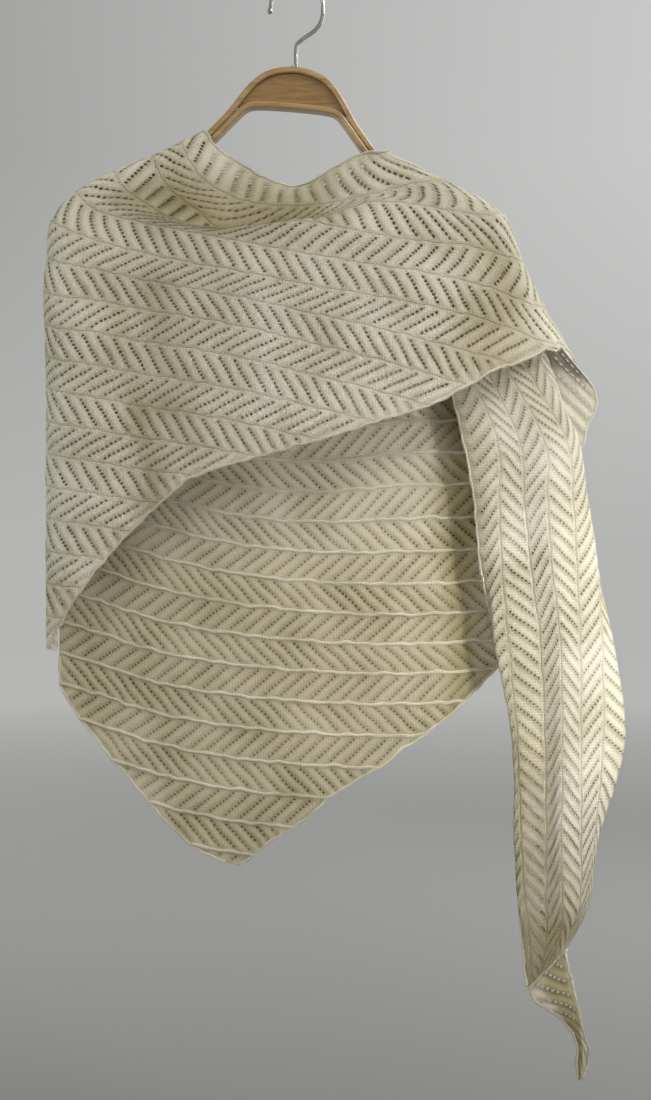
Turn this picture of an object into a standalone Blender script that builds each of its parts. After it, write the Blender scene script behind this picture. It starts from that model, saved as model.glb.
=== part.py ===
# Knit lace shawl draped and wrapped on a bent wood hanger with a wire hook.
# Millimetres in the tables, metres in the meshes. X to the viewer's right, Y into the wall,
# Z up. The origin is the inside top of the hook, where a rail carries it.
import bmesh
import bpy
import math
import numpy as np

MM = 0.001

# Shawl: one triangle of lace columns that run along its long edge
KNIT = 2.0           # thickness of the knitting
CORD = 1.3           # a seam's raised cord on the wrong side
CORD_HALF = 0.06     # half the cord's foot, in columns
GROOVE = 0.5         # depth of a seam on the right side
NECK_SEAM = 2.6      # where the neck fold ends behind the front fold, in columns
FLAP_GAP = 0.18      # the same where the wrap ends and its flap begins
BACK_GAP = 0.035     # the same where the back panel turns into the wrap, in stations

# Hanger: two bent strips, a plain panel between them, a wire hook
HANGER_TOP = (-1.0, -80.2)
HANGER_TILT = -4.8   # degrees, right arm lower
STRIP = 5.5          # thickness of a strip in its plane
STRIP_DEPTH = 14.0   # front to back
STRIP_GAP = 0.35
PANEL_DEPTH = 6.0
PANEL_END = 1.6      # height of the panel where it runs out between the strips
EDGE_ROUND = 1.4     # rounding of a strip's long edges
WIRE = 3.8           # hook wire diameter
HOOK_RADIUS = 24.1   # to the middle of the wire
STEM_X = -1.0
STEM_LOW = -85.4     # lower end of the stem, inside the outer strip
COLLAR = (4.2, 1.8)  # radius and height
HOLE = 2.3           # radius of the hole for the stem
TIP_BALL = 2.6       # radius of the hook's rounded tip

# Outer contour of the right half of the hanger, from its top, before it tilts: x, z
CONTOUR = (
    (0, 0), (8, -0.7), (17, -2.6), (24, -5.2), (30, -8.4), (36, -13.4), (42, -19.9),
    (48, -28.1), (54, -37.5), (61, -47.6), (68, -56.2), (75, -64.6), (83, -73.6), (92, -81.8),
    (110, -90.3), (130, -99.3), (150, -109.8), (170, -120.8), (184, -129.3), (193, -136.8),
)
# Middle line of the inner strip where it leaves the outer one and crosses as a bar: x, z
BAR = ((0, -36.5), (12, -36.6), (24, -36.9), (33, -37.6), (39.5, -39), (44.5, -42.2), (48.3, -46.2))
BAR_JOINS = 59.0     # x on the contour where the inner strip lies against the outer one

# Seam lines of the front wrap that the columns of WRAP_ROWS stand for, 0 is the long edge
WRAP_SEAMS = (0, 1, 2, 3, 4, 5, 6, 10, 14, 18)
# Rows of WRAP_ROWS: behind the left arm, over it, across the front, over the right arm, down
# the back to the shawl's left point. Each entry is x, y, z on that seam line.
WRAP_ROWS = (
    ((-90.6, 10, -154.8), (-113, 10, -165), (-141, 10, -177.2), (-172.7, 10, -190.2),
     (-202.5, 10, -210.7), (-219.5, 11, -236.6), (-223.4, 12, -262.6), (-223.6, 13, -382),
     (-223.2, 11, -501.7), (-222.9, 9, -621)),
    ((-88.7, 9.2, -140.5), (-110.2, 9.2, -150.8), (-137.6, 9.2, -162.4), (-172.6, 9.2, -177.4),
     (-206.1, 9, -196), (-227.2, 7, -226.3), (-230.7, 6, -257.2), (-230.5, 5, -377.8),
     (-230.5, 4.5, -498.2), (-230.4, 4, -618.6)),
    ((-87.1, 0.3, -137.9), (-108.8, 0.3, -148.3), (-136.1, 0.3, -160.6), (-171.4, 0.5, -175.3),
     (-205.6, 0, -194), (-227.2, -3, -221.9), (-231.3, -6, -255.8), (-230.9, -8, -376.2),
     (-231.5, -5, -496.2), (-232, -2, -616.7)),
    ((-82.6, -9.8, -142.9), (-105.6, -9.5, -153.1), (-132.2, -9.7, -165.5), (-167.1, -10, -179.9),
     (-201, -10.8, -199.1), (-222.8, -12, -225.7), (-225.8, -16, -259.6), (-225.2, -19, -378.9),
     (-226.2, -13.5, -497.5), (-227.2, -8, -617.1)),
    ((-74.3, -9, -155.2), (-99.1, -10.5, -167.5), (-126.5, -11.5, -179.7), (-161.3, -12.5, -191),
     (-192.2, -14, -208.8), (-212.6, -18, -231.6), (-214.7, -22, -264.4), (-214.1, -25, -382.4),
     (-215.3, -18.5, -499.8), (-216.4, -12, -618.3)),
    ((-52.3, -8.8, -169.8), (-84.1, -13, -187.4), (-114.2, -15, -197.1), (-146.9, -17, -203),
     (-176.2, -17, -217.7), (-186.6, -21, -242.3), (-183.2, -25, -270.4), (-182.6, -29, -387.6),
     (-183.6, -22.5, -503.9), (-184.6, -16, -621.3)),
    ((-30.2, -9, -182.8), (-55.5, -16, -203.7), (-88, -22, -217.9), (-119.5, -26, -221.5),
     (-142.7, -22, -227), (-147.4, -21, -253.2), (-144.5, -22, -278.9), (-144.5, -22, -394.5),
     (-144.7, -20, -510), (-145, -18, -625.9)),
    ((-6.3, -9, -191.1), (-31.7, -18, -209.7), (-64.2, -24, -237.4), (-84.2, -35, -233.4),
     (-96.1, -33, -238.4), (-98, -32, -265.4), (-96.1, -33, -289.1), (-96, -34, -402.3),
     (-96.3, -31, -515.4), (-96.6, -28, -629)),
    ((13, -9, -186.5), (-2.4, -19, -211.7), (-25.9, -25, -242.2), (-38.9, -39, -233.4),
     (-41.6, -39, -249.6), (-41.5, -41, -277), (-41.4, -42, -300.5), (-41.4, -43, -413),
     (-41.4, -41.5, -525.4), (-41.5, -40, -638)),
    ((30.5, -9, -176.3), (26.8, -19, -209), (19.6, -25, -225.8), (7.9, -38, -229.6),
     (12.5, -41, -259.9), (12.5, -43, -288.1), (12.5, -44, -313.4), (12.5, -47, -425.5),
     (12.5, -46.5, -537.2), (12.5, -46, -649)),
    ((45.2, -9.5, -168.2), (50.6, -18, -204.2), (62.3, -25, -210.4), (57.5, -36, -238.2),
     (66.4, -40, -268.7), (66.3, -44, -297.2), (66.2, -46, -325.3), (66.2, -49, -438.4),
     (66.2, -48.5, -551), (66.2, -48, -663.6)),
    ((58.1, -10.5, -162.9), (76.2, -17, -198.5), (98.8, -23, -209.9), (107.4, -32, -245.4),
     (120.6, -37, -276.2), (120.2, -42, -306.8), (120, -46, -338.8), (119.8, -49, -451.8),
     (119.8, -48.5, -564.4), (119.8, -48, -677)),
    ((68.2, -12, -160.6), (103.7, -17, -191.2), (139.9, -21, -215.8), (157.7, -26, -249.7),
     (172.6, -31, -287.8), (174.8, -36, -319.3), (176, -41, -353.4), (175.7, -44, -468.5),
     (175.7, -44, -583.3), (175.7, -44, -698.1)),
    ((75.5, -12.6, -160.3), (123.9, -15, -187), (173.2, -17, -219.5), (193, -20, -258.5),
     (210.8, -23, -301), (224.8, -27, -337), (228, -30, -368.3), (227.7, -32, -484.3),
     (227.7, -32, -600.1), (227.7, -32, -715.9)),
    ((80.2, -10, -160), (129.8, -10.5, -185), (183.9, -11, -216.3), (203.1, -12, -258.8),
     (223.2, -13, -302.1), (241.2, -15, -337.2), (248.2, -17, -370.4), (251.9, -17, -487.5),
     (251.9, -17, -604.6), (251.9, -17, -721.7)),
    ((83.4, 1, -155.8), (135.3, 1, -181.7), (189.9, 1, -214.1), (210.4, 2, -259.8),
     (231.8, 2, -303.4), (250.2, 1, -338.8), (259.4, 1, -372.1), (264.8, 0, -490.7),
     (264.8, 0, -609.3), (264.8, 0, -727.8)),
    ((84.8, 13, -156.3), (137.2, 13.5, -182.8), (191.4, 14, -217.3), (212.2, 15, -263.9),
     (235.6, 15, -308.8), (257.8, 14, -345.4), (271.9, 14, -378.2), (277.5, 14, -497.9),
     (277.5, 14, -617.6), (277.5, 14, -737.3)),
    ((86, 19, -171.2), (135.8, 20, -197.2), (186.7, 22, -232.5), (210.3, 22, -273.9),
     (236.6, 22, -316.2), (263.7, 21, -354.9), (280.6, 21, -386.8), (286.2, 21, -507.1),
     (286.2, 21, -627.4), (286.2, 21, -747.7)),
    ((98.3, 22, -243.8), (136, 23, -264.3), (175.7, 24, -290.5), (207.7, 24, -323.4),
     (239.6, 23, -356.5), (281.5, 21, -383.1), (295.6, 21, -403.7), (301.3, 21, -524),
     (301.3, 21, -644.3), (301.3, 21, -764.6)),
    ((124.7, 22, -356.6), (154.9, 23, -369.7), (186, 24, -384.7), (217.1, 24, -401.6),
     (247.1, 23, -416.8), (277, 22, -428.1), (303.4, 22, -439.4), (309, 22, -559.8),
     (309, 22, -680.2), (309, 22, -800.5)),
    ((158.5, 22, -460.1), (183.1, 23, -466.6), (209.6, 24, -474.1), (233.9, 23, -480.8),
     (258.2, 22, -488.3), (282.7, 22, -495.8), (303.4, 22, -503.4), (309, 22, -623.7),
     (309, 22, -744.1), (309, 22, -864.5)),
    ((209.2, 21, -561.6), (228, 21, -565.4), (244.9, 21, -569.2), (261.8, 21, -572.9),
     (278.7, 21, -576.7), (295.6, 21, -580.4), (312.6, 21, -584.2), (318.2, 21, -704.5),
     (318.2, 21, -824.8), (318.2, 21, -945.1)),
)
# Seam at which the slanted hem crosses each row above
HEM = (
    19.2, 18.5, 18.2, 17.9, 17.2, 15.4, 13.75, 12.05, 11.1, 10.15, 9.1, 8, 6.35, 5.2, 5.1,
    5.05, 5.05, 5.05, 5, 4.75, 3.2, 0.35,
)
WRAP_ENDS = 13.5       # row where the wrap meets the flap, at the front of the right arm
WRAP_LOW = 17.97     # lowest seam line of the wrap
# Rows of the mesh along the wrap, closest together over the left arm
WRAP_STEPS = (
    0, 0.35, 0.7, 1, 1.33, 1.67, 2, 2.3, 2.6, 3, 3.4, 4, 4.7, 5.4, 6.1, 6.6, 7.1, 7.6, 8.1, 8.6,
    9.1, 9.7, 10.3, 11, 11.6, 12.2, 12.8, 13.2, 13.5,
)
WRAP_SHARE = np.array(WRAP_STEPS) / WRAP_ENDS
FLAP_SEAMS = (0, 0.5, 1, 1.5, 2, 2.5, 3, 3.5, 4, 4.5, 5.15)

# Back panel: rows from the left turn to behind the tail, 0 is its neck edge
BACK_SEAMS = (0, 1, 2, 3, 4, 5, 6, 10, 14, 18, 21, 23.4)
BACK_ROWS = (
    ((-90.6, 10, -154.8), (-113, 10, -165), (-141, 10, -177.2), (-172.7, 10, -190.2),
     (-202.5, 10, -210.7), (-219.5, 11, -236.6), (-223.4, 12, -262.6), (-223.6, 13, -382),
     (-223.2, 11, -501.7), (-222.9, 9, -621), (-222.7, 8, -704.7), (-222.5, 7, -772.5)),
    ((-75.8, 10.5, -168.6), (-95.4, 10.5, -183.6), (-119.6, 10.5, -196.6), (-147.6, 10.5, -208.7),
     (-171.8, 10.5, -224.6), (-185.1, 11.8, -247.7), (-184.3, 13, -274.5), (-184.8, 16, -397.6),
     (-184.9, 17, -514.7), (-184.6, 15, -632.6), (-183.9, 10, -717.1), (-183.6, 8, -784.8)),
    ((-51.5, 10.5, -182.6), (-68.3, 10.5, -200.4), (-88.8, 10.5, -215.3), (-109.3, 10.5, -228.3),
     (-123.3, 10.5, -245.1), (-128.2, 12, -268.2), (-128.3, 13.5, -293.1), (-128.4, 14.5, -418.3),
     (-128.2, 12, -532.5), (-128, 10.5, -650), (-128.2, 12, -735.1), (-128.3, 13, -804.4)),
    ((-20.7, 10.5, -194.8), (-32.8, 10.5, -211.5), (-44, 10.5, -229.3), (-53.4, 10.5, -247.9),
     (-57.1, 10.5, -268.5), (-58.1, 12, -290.6), (-58.2, 13.5, -312.8), (-58.2, 13, -437.1),
     (-58.1, 11, -547.4), (-58.2, 14, -661.5), (-58.4, 16, -749.8), (-58.3, 15, -820.7)),
    ((8.2, 10.5, -192.9), (8.2, 10.5, -211.5), (11.9, 10.5, -230.2), (15.7, 10.5, -251.7),
     (18.5, 10.5, -274.1), (20.3, 12.2, -297.1), (21.2, 14, -323), (21.2, 16, -442.6),
     (21.2, 17, -555.9), (21.2, 15, -668.2), (21.3, 12, -756.6), (21.3, 12, -826.6)),
    ((36.2, 11.5, -182.4), (47.4, 11.5, -203.9), (65.1, 11.5, -225.3), (79.1, 11.5, -247.7),
     (89.4, 11.5, -271.1), (94.1, 12.5, -295.2), (96, 13.5, -321.2), (96.1, 15, -435.1),
     (96, 13, -557.7), (96, 12, -669.7), (96.1, 14, -758.8), (96.1, 15, -829.1)),
    ((61.4, 12.6, -170), (84.8, 12.6, -193.3), (111.9, 12.6, -217.6), (135.2, 12.6, -242.8),
     (153, 12.6, -267.1), (163.3, 12.8, -290.5), (168.9, 13, -315.7), (170.7, 12.5, -434.4),
     (170.8, 13.5, -554.9), (171, 15, -666.3), (171, 15, -756.1), (171, 15, -825.4)),
    ((84.8, 12.8, -163.4), (114.7, 12.8, -185.8), (144.6, 12.8, -212), (173.6, 12.8, -239.1),
     (200.7, 12.8, -264.3), (219.4, 12.9, -288.6), (229.6, 13, -312.9), (231.4, 12.5, -432.5),
     (231.4, 12, -552.1), (231.4, 12, -662.3), (231.4, 12, -751.9), (231.4, 12, -821)),
)
# Where the slanted hems end each seam line: seam, station
BACK_LEFT = (
    (18.1, 0.035), (18.6, 0.035), (19, 0.048), (19.4, 0.19), (20, 0.571), (20.4, 0.881),
    (21, 1.217), (21.45, 1.55), (22, 1.833), (22.5, 2.107), (22.85, 2.307), (23.2, 2.6),
    (23.35, 2.88),
)
BACK_RIGHT = (
    (15.3, 7), (16.5, 6.462), (17.5, 6), (18.4, 5.625), (18.9, 5.35), (19.2, 5.2),
    (19.4, 5.025), (19.8, 4.875), (20.05, 4.7), (20.5, 4.375), (21.05, 4.075),
    (21.8, 3.788), (22.45, 3.447), (23, 3.224), (23.35, 3.059),
)
BACK_LOW = 23.33

# Tail, front layer: rows from behind the right arm, over it and down, 0 is the long edge
TAIL_SEAMS = (0, 0.5, 1, 2, 3, 4, 5, 5.8)
TAIL_ROWS = (
    ((86.5, 8.9, -171.4), (97.7, 8.9, -179.3), (109.8, 8.9, -187.7), (135.9, 8.9, -207.2),
     (161, 8.9, -228.7), (181.5, 8.9, -250.1), (195.5, 8.9, -267.8), (203.9, 8.9, -281.8)),
    ((83.7, 8.7, -161.9), (93, 8.7, -167.1), (103.3, 8.7, -172.8), (123.7, 8.7, -184.3),
     (144.2, 8.7, -195.8), (162.9, 8.7, -206.2), (178.7, 8.7, -215.1), (186.2, 8.7, -219.3)),
    ((83.3, 0.3, -161.7), (92.6, 0.3, -166.9), (102.8, 0.3, -172.6), (123.2, 0.3, -184),
     (143.5, 0.3, -195.4), (162.1, 0.3, -205.8), (177.8, 0.3, -214.6), (185.2, 0.3, -218.8)),
    ((83, -8.8, -166.4), (92.2, -8.8, -171.6), (102.3, -8.8, -177.2), (122.5, -8.8, -188.6),
     (142.8, -8.8, -199.9), (161.2, -8.8, -210.2), (176.8, -8.8, -219), (184.2, -8.8, -223.1)),
    ((86.6, -10.6, -194.2), (95.8, -10.6, -199.3), (105, -10.6, -204.5), (124.3, -10.6, -215.3),
     (143.6, -10.6, -226.1), (161.9, -10.6, -236.4), (177.6, -10.6, -245.1), (185.1, -8.6, -248.9)),
    ((107.6, -12, -268.9), (116.8, -12, -268.9), (126, -12, -268.9), (143.4, -12, -268.9),
     (160.8, -13, -269.1), (176.4, -13, -269.1), (187.5, -12, -268.9), (193.4, -9, -268.3)),
    ((131.4, -13, -342.5), (140.5, -14, -342.6), (149.7, -14, -342.6), (166.1, -15, -342.7),
     (183.4, -16, -342.9), (201.7, -16, -342.9), (219.5, -13, -342.5), (228.5, -8, -341.8)),
    ((152.5, -13, -425), (168.6, -17, -425.3), (183.1, -18, -425.4), (203.1, -19, -425.5),
     (225.5, -22, -425.7), (245.9, -20, -425.5), (257.8, -14, -425.1), (255.2, -8, -424.7)),
    ((162.7, -12, -480), (174.1, -17, -480.2), (185, -18, -480.2), (207.6, -20, -480.3),
     (228, -24, -480.4), (252, -22, -480.4), (266.8, -15, -480.1), (264.2, -9, -479.9)),
    ((169.2, -11, -544.3), (178.8, -16, -544.2), (187.7, -18, -544.2), (213.9, -20, -544.2),
     (232.4, -25, -544.1), (255.4, -23, -544.1), (275.6, -17, -544.2), (276, -10, -544.3)),
    ((184.2, -9, -608.7), (180.6, -16, -608.3), (193.2, -18, -608.2), (222.2, -20, -608.1),
     (239.5, -26, -607.7), (258, -24, -607.8), (278.9, -19, -608.1), (290.3, -12, -608.5)),
    ((211.1, -7, -701), (197.5, -13, -700.2), (201.7, -16, -699.8), (226.9, -19, -699.5),
     (241.3, -26, -698.6), (258.9, -24, -698.8), (279.8, -19, -699.5), (301.3, -12, -700.3)),
    ((207.6, -6, -793.3), (199.4, -12, -792.1), (205.5, -15, -791.6), (227.8, -19, -790.8),
     (240.4, -26, -789.5), (259.4, -21, -790.4), (272.2, -16, -791.4), (277.2, -11, -792.3)),
    ((204.4, -9, -847.9), (202.6, -12, -847.2), (209.3, -14, -846.8), (227.9, -18, -845.8),
     (241.6, -24, -844.4), (259, -18, -845.8), (265.8, -16, -846.3), (269.7, -12, -847.2)),
    ((206, -11, -875), (208.1, -12.5, -874.6), (213, -13.5, -874.4), (228.9, -17.5, -873.4),
     (241.3, -20.5, -872.6), (250.9, -17.5, -873.4), (254.7, -16.5, -873.6), (258.1, -12.5, -874.6)),
    ((210.9, -12, -926.2), (213.1, -13, -927.7), (216.1, -14, -924.7), (223.8, -15, -915.2),
     (232.8, -16, -905.8), (240.1, -16, -898.5), (243.8, -16, -894.8), (245.3, -15, -893.7)),
)

# Tail, layer folded behind: rows down, each from the fold to its free edge
REAR_ROWS = (
    ((193.4, -7.6, -249.7), (192, -1.3, -248.4), (160.6, 4, -247.4), (127.1, 3, -247.6)),
    ((208.7, -6.8, -295.6), (207.2, -1.9, -294.8), (175.2, 2, -294.1), (137.1, 1, -294.3)),
    ((228.1, -6.6, -341.6), (226.5, -2.3, -341), (193.6, 1, -340.6), (149.1, 0, -340.7)),
    ((254.8, -6.8, -424.6), (253.2, -2.9, -424.3), (217.6, 0, -424.1), (171.2, -1, -424.1)),
    ((263.9, -7.8, -479.9), (262.2, -4.4, -479.8), (227.5, -2, -479.7), (180.2, -3, -479.7)),
    ((275.6, -8.8, -544.3), (274, -5.4, -544.4), (239.4, -3, -544.4), (187.5, -4, -544.4)),
    ((290, -10.8, -608.6), (288.6, -6.4, -608.9), (248.6, -3, -609.1), (198.6, -4, -609)),
    ((301, -10.8, -700.5), (299.8, -5.9, -701.1), (259.9, -2, -701.6), (219, -3, -701.5)),
    ((276.4, -9.6, -792.6), (275, -5.3, -793.4), (252.5, -2, -794.1), (222.7, -3, -793.9)),
    ((268.9, -10.6, -847.5), (267.5, -5.8, -848.7), (250.6, -2, -849.5), (225.5, -3, -849.3)),
    ((248.6, -11.3, -888.7), (247.1, -6.7, -889.9), (239.4, -3, -890.9), (227.2, -4, -890.6)),
)

# Tail's point, wrong side to the viewer: rows down, left edge, middle, right edge
TIP_ROWS = (
    ((225.2, -11.3, -891.9), (236.4, -13.5, -891.3), (248.2, -11.3, -891.9)),
    ((221.6, -11.2, -904.4), (234.1, -13.4, -900.5), (247.3, -11.2, -897.9)),
    ((215.3, -10.2, -921.2), (232.4, -12.4, -916), (250.2, -10.2, -912)),
    ((217.1, -10, -937.8), (235.2, -12.2, -931.2), (253.9, -10, -925.8)),
    ((229.9, -10.5, -947.7), (242.9, -12.7, -942), (256.6, -10.5, -937.6)),
    ((241.9, -10.5, -956), (250.3, -12.7, -953.5), (259.4, -10.5, -952.3)),
    ((252.9, -10.5, -969.8), (257.8, -12.7, -969.1), (263.5, -10.5, -969.8)),
    ((257.5, -10.5, -984.5), (262.4, -12.7, -983.3), (268.1, -10.5, -983.6)),
    ((257.1, -10.5, -998.3), (261.5, -12.7, -997.5), (266.7, -10.5, -998.3)),
    ((258.4, -10.5, -1013), (260.1, -12.7, -1011.8), (262.6, -10.5, -1012.1)),
)


def weights(knots, at):
    """One row of weights per place in at, for a smooth curve through values at the knots."""
    knots = np.asarray(knots, float)
    at = np.clip(np.asarray(at, float), knots[0], knots[-1])
    count = len(knots)
    values = np.eye(count)
    step = np.diff(knots)
    slope = np.diff(values, axis=0) / step[:, None]
    tangent = np.empty_like(values)
    tangent[0] = slope[0]
    tangent[-1] = slope[-1]
    before = step[:-1, None]
    after = step[1:, None]
    tangent[1:-1] = (slope[:-1] * after + slope[1:] * before) / (before + after)
    cell = np.clip(np.searchsorted(knots, at, side="right") - 1, 0, count - 2)
    width = step[cell]
    f = ((at - knots[cell]) / width)[:, None]
    rise = width[:, None]
    return (
        values[cell] * (2 * f**3 - 3 * f**2 + 1)
        + values[cell + 1] * (3 * f**2 - 2 * f**3)
        + tangent[cell] * rise * (f**3 - 2 * f**2 + f)
        + tangent[cell + 1] * rise * (f**3 - f**2)
    )


def sheet_points(rows, seams, station, seam):
    """Points of a sheet at arrays of stations and seams of one shape."""
    net = np.asarray(rows, float)
    along = weights(np.arange(len(rows)), station.ravel())
    across = weights(seams, seam.ravel())
    points = np.einsum("ni,nj,ijc->nc", along, across, net)
    return points.reshape(station.shape + (3,))


def sheet_normals(rows, seams, station, seam):
    """Unit normals of the same sheet there, so that neighbouring stretches share them."""
    step = 0.02
    down = sheet_points(rows, seams, station, seam + step)
    down -= sheet_points(rows, seams, station, seam - step)
    along = sheet_points(rows, seams, station + step, seam)
    along -= sheet_points(rows, seams, station - step, seam)
    normals = np.cross(down, along)
    return normals / np.maximum(np.linalg.norm(normals, axis=2)[:, :, None], 1e-9)


def closed_sheet(name, material, points, normals, front=0.0, back=0.0):
    """A closed solid of the knitting's thickness about a grid of middle points."""
    near = points + normals * (KNIT / 2 + front)
    far = points - normals * (KNIT / 2 + back)
    rows, columns = points.shape[:2]
    falling = np.linalg.norm(points[1:, 1:] - points[:-1, :-1], axis=2)
    rising = np.linalg.norm(points[1:, :-1] - points[:-1, 1:], axis=2)
    short = rising < falling
    mesh = bmesh.new()
    verts = [
        [[mesh.verts.new(p * MM) for p in line] for line in side] for side in (near, far)
    ]

    for i in range(rows - 1):
        for j in range(columns - 1):
            for side, turn in ((verts[0], 1), (verts[1], -1)):
                ring = [side[i][j], side[i][j + 1], side[i + 1][j + 1], side[i + 1][j]]
                if short[i, j]:
                    ring = ring[1:] + ring[:1]
                mesh.faces.new(ring[0:3][::turn])
                mesh.faces.new((ring[0], ring[2], ring[3])[::turn])
    border = [(0, j) for j in range(columns - 1)]
    border += [(i, columns - 1) for i in range(rows - 1)]
    border += [(rows - 1, j) for j in range(columns - 1, 0, -1)]
    border += [(i, 0) for i in range(rows - 1, 0, -1)]
    for n, (i, j) in enumerate(border):
        k, m = border[(n + 1) % len(border)]
        mesh.faces.new((verts[0][k][m], verts[0][i][j], verts[1][i][j], verts[1][k][m]))
    return finish(name, material, mesh)


def finish(name, material, mesh):
    """Makes the object, with all faces outwards."""
    bmesh.ops.recalc_face_normals(mesh, faces=mesh.faces[:])
    if mesh.calc_volume(signed=True) < 0:
        bmesh.ops.reverse_faces(mesh, faces=mesh.faces[:])
    data = bpy.data.meshes.new(name)
    mesh.to_mesh(data)
    mesh.free()
    data.materials.append(material)
    made = bpy.data.objects.new(name, data)
    bpy.context.collection.objects.link(made)
    return made


def material(name, colour, roughness, metallic=0.0):
    made = bpy.data.materials.new(name)
    made.use_nodes = True
    shader = made.node_tree.nodes["Principled BSDF"]
    shader.inputs["Base Color"].default_value = (*colour, 1.0)
    shader.inputs["Roughness"].default_value = roughness
    shader.inputs["Metallic"].default_value = metallic
    return made


def seam_rows(first, last, style):
    """Rows across a stretch: the seams, with a cord's feet beside them or a mid column."""
    rows = [first]
    for seam in range(math.ceil(first + 0.2), math.floor(last - 0.2) + 1):
        rows += [seam - CORD_HALF, seam, seam + CORD_HALF] if style == "cord" else [seam]
        if style != "cord" and seam + 0.7 < last:
            rows.append(seam + 0.5)
    return np.array(rows + [last])


def seam_relief(rows, height):
    """The height on the seam rows alone, none on the rows beside them."""
    on_seam = (np.abs(rows - np.round(rows)) < 1e-6) & (rows > rows[0]) & (rows < rows[-1])
    return np.where(on_seam, height, 0.0)


def stretch(name, material_used, rows, seams, across, first, last, share, front, back):
    """A stretch whose station range may differ on each row across: first and last arrays."""
    station = (first[:, None] + (last - first)[:, None] * share[None, :]).T
    seam = np.repeat(across[None, :], len(share), axis=0)
    points = sheet_points(rows, seams, station, seam)
    normals = sheet_normals(rows, seams, station, seam)
    return closed_sheet(
        name, material_used, points, normals, front[None, :, None], back[None, :, None]
    )


def crossing(limit, across):
    """Station where a slanted hem, given as the seam at each row, crosses each seam."""
    stations = np.arange(len(limit))
    return np.interp(-across, -np.asarray(limit, float), stations)


def front_wrap(knit):
    across = seam_rows(3, WRAP_LOW, "plain")
    across = np.concatenate([(NECK_SEAM + 0.03, 2.8), across[:1], (3.25, 3.5), across[1:]])
    last = np.minimum(crossing(HEM, across), WRAP_ENDS)
    first = np.zeros(len(across))
    return stretch(
        "front_wrap", knit, WRAP_ROWS, WRAP_SEAMS, across, first, last, WRAP_SHARE,
        -seam_relief(across, GROOVE), seam_relief(across, 0.0),
    )


def neck_fold(knit):
    across = np.array([0, 0.5, 1, 1.5, 2, 2.3, NECK_SEAM - 0.08])
    none = np.zeros(len(across))
    return stretch(
        "neck_fold", knit, WRAP_ROWS, WRAP_SEAMS, across, none, none + WRAP_ENDS, WRAP_SHARE,
        -seam_relief(across, GROOVE), none,
    )


def end_flap(knit):
    stations = np.concatenate([
        np.linspace(WRAP_ENDS + FLAP_GAP, 17, 11), np.linspace(17.5, len(WRAP_ROWS) - 1, 8),
    ])
    low = np.interp(stations, np.arange(len(HEM)), HEM)
    share = np.array(FLAP_SEAMS) / FLAP_SEAMS[-1]
    seam = low[:, None] * share[None, :]
    station = np.repeat(stations[:, None], len(share), axis=1)
    points = sheet_points(WRAP_ROWS, WRAP_SEAMS, station, seam)
    normals = sheet_normals(WRAP_ROWS, WRAP_SEAMS, station, seam)
    return closed_sheet("end_flap", knit, points, normals)


def back_panel(knit):
    across = seam_rows(0, BACK_LOW, "cord")
    left = np.interp(across, [k for k, _ in BACK_LEFT], [u for _, u in BACK_LEFT])
    left = np.maximum(left, BACK_GAP)
    right = np.interp(across, [k for k, _ in BACK_RIGHT], [u for _, u in BACK_RIGHT])
    return stretch(
        "back_panel", knit, BACK_ROWS, BACK_SEAMS, across, left, right, np.linspace(0, 1, 15),
        seam_relief(across, CORD), np.zeros(len(across)),
    )


def tail_front(knit):
    across = np.array([0, 0.25, 0.5, 0.75, 1, 1.5, 2, 2.5, 3, 3.5, 4, 4.5, 5, 5.4, 5.8])
    stations = np.concatenate([np.linspace(0, 5, 13), np.linspace(5.5, len(TAIL_ROWS) - 1, 20)])
    station = np.repeat(stations[:, None], len(across), axis=1)
    seam = np.repeat(across[None, :], len(stations), axis=0)
    points = sheet_points(TAIL_ROWS, TAIL_SEAMS, station, seam)
    normals = sheet_normals(TAIL_ROWS, TAIL_SEAMS, station, seam)
    return closed_sheet("tail_front", knit, points, normals)


def tail_rear(knit):
    share = np.linspace(0, 3, 8)
    stations = np.linspace(0, len(REAR_ROWS) - 1, 18)
    station = np.repeat(stations[:, None], len(share), axis=1)
    seam = np.repeat(share[None, :], len(stations), axis=0)
    points = sheet_points(REAR_ROWS, (0, 1, 2, 3), station, seam)
    normals = sheet_normals(REAR_ROWS, (0, 1, 2, 3), station, seam)
    return closed_sheet("tail_rear", knit, points, normals)


def tail_tip(knit):
    share = np.linspace(0, 2, 5)
    stations = np.linspace(0, len(TIP_ROWS) - 1, 19)
    station = np.repeat(stations[:, None], len(share), axis=1)
    seam = np.repeat(share[None, :], len(stations), axis=0)
    points = sheet_points(TIP_ROWS, (0, 1, 2), station, seam)
    normals = sheet_normals(TIP_ROWS, (0, 1, 2), station, seam)
    return closed_sheet("tail_tip", knit, points, normals)


def smooth_line(points, count):
    """A smooth line of count points through a few."""
    points = np.asarray(points, float)
    return weights(np.arange(len(points)), np.linspace(0, len(points) - 1, count)) @ points


def offset_line(line, distance):
    """A line in the hanger's plane moved to its right-hand side."""
    step = np.gradient(line, axis=0)
    step /= np.linalg.norm(step, axis=1, keepdims=True)
    return line + np.stack([step[:, 1], -step[:, 0]], axis=1) * distance


def mirrored(half):
    """The whole line, left end first, from its right half."""
    left = half[:0:-1] * np.array([-1.0, 1.0])
    return np.concatenate([left, half])


def hang(x, y, z):
    """A point of the hanger's own plane as it hangs, tilted about its top, in metres."""
    angle = math.radians(HANGER_TILT)
    along = x * math.cos(angle) - z * math.sin(angle)
    up = x * math.sin(angle) + z * math.cos(angle)
    return ((HANGER_TOP[0] + along) * MM, y * MM, (HANGER_TOP[1] + up) * MM)


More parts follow.
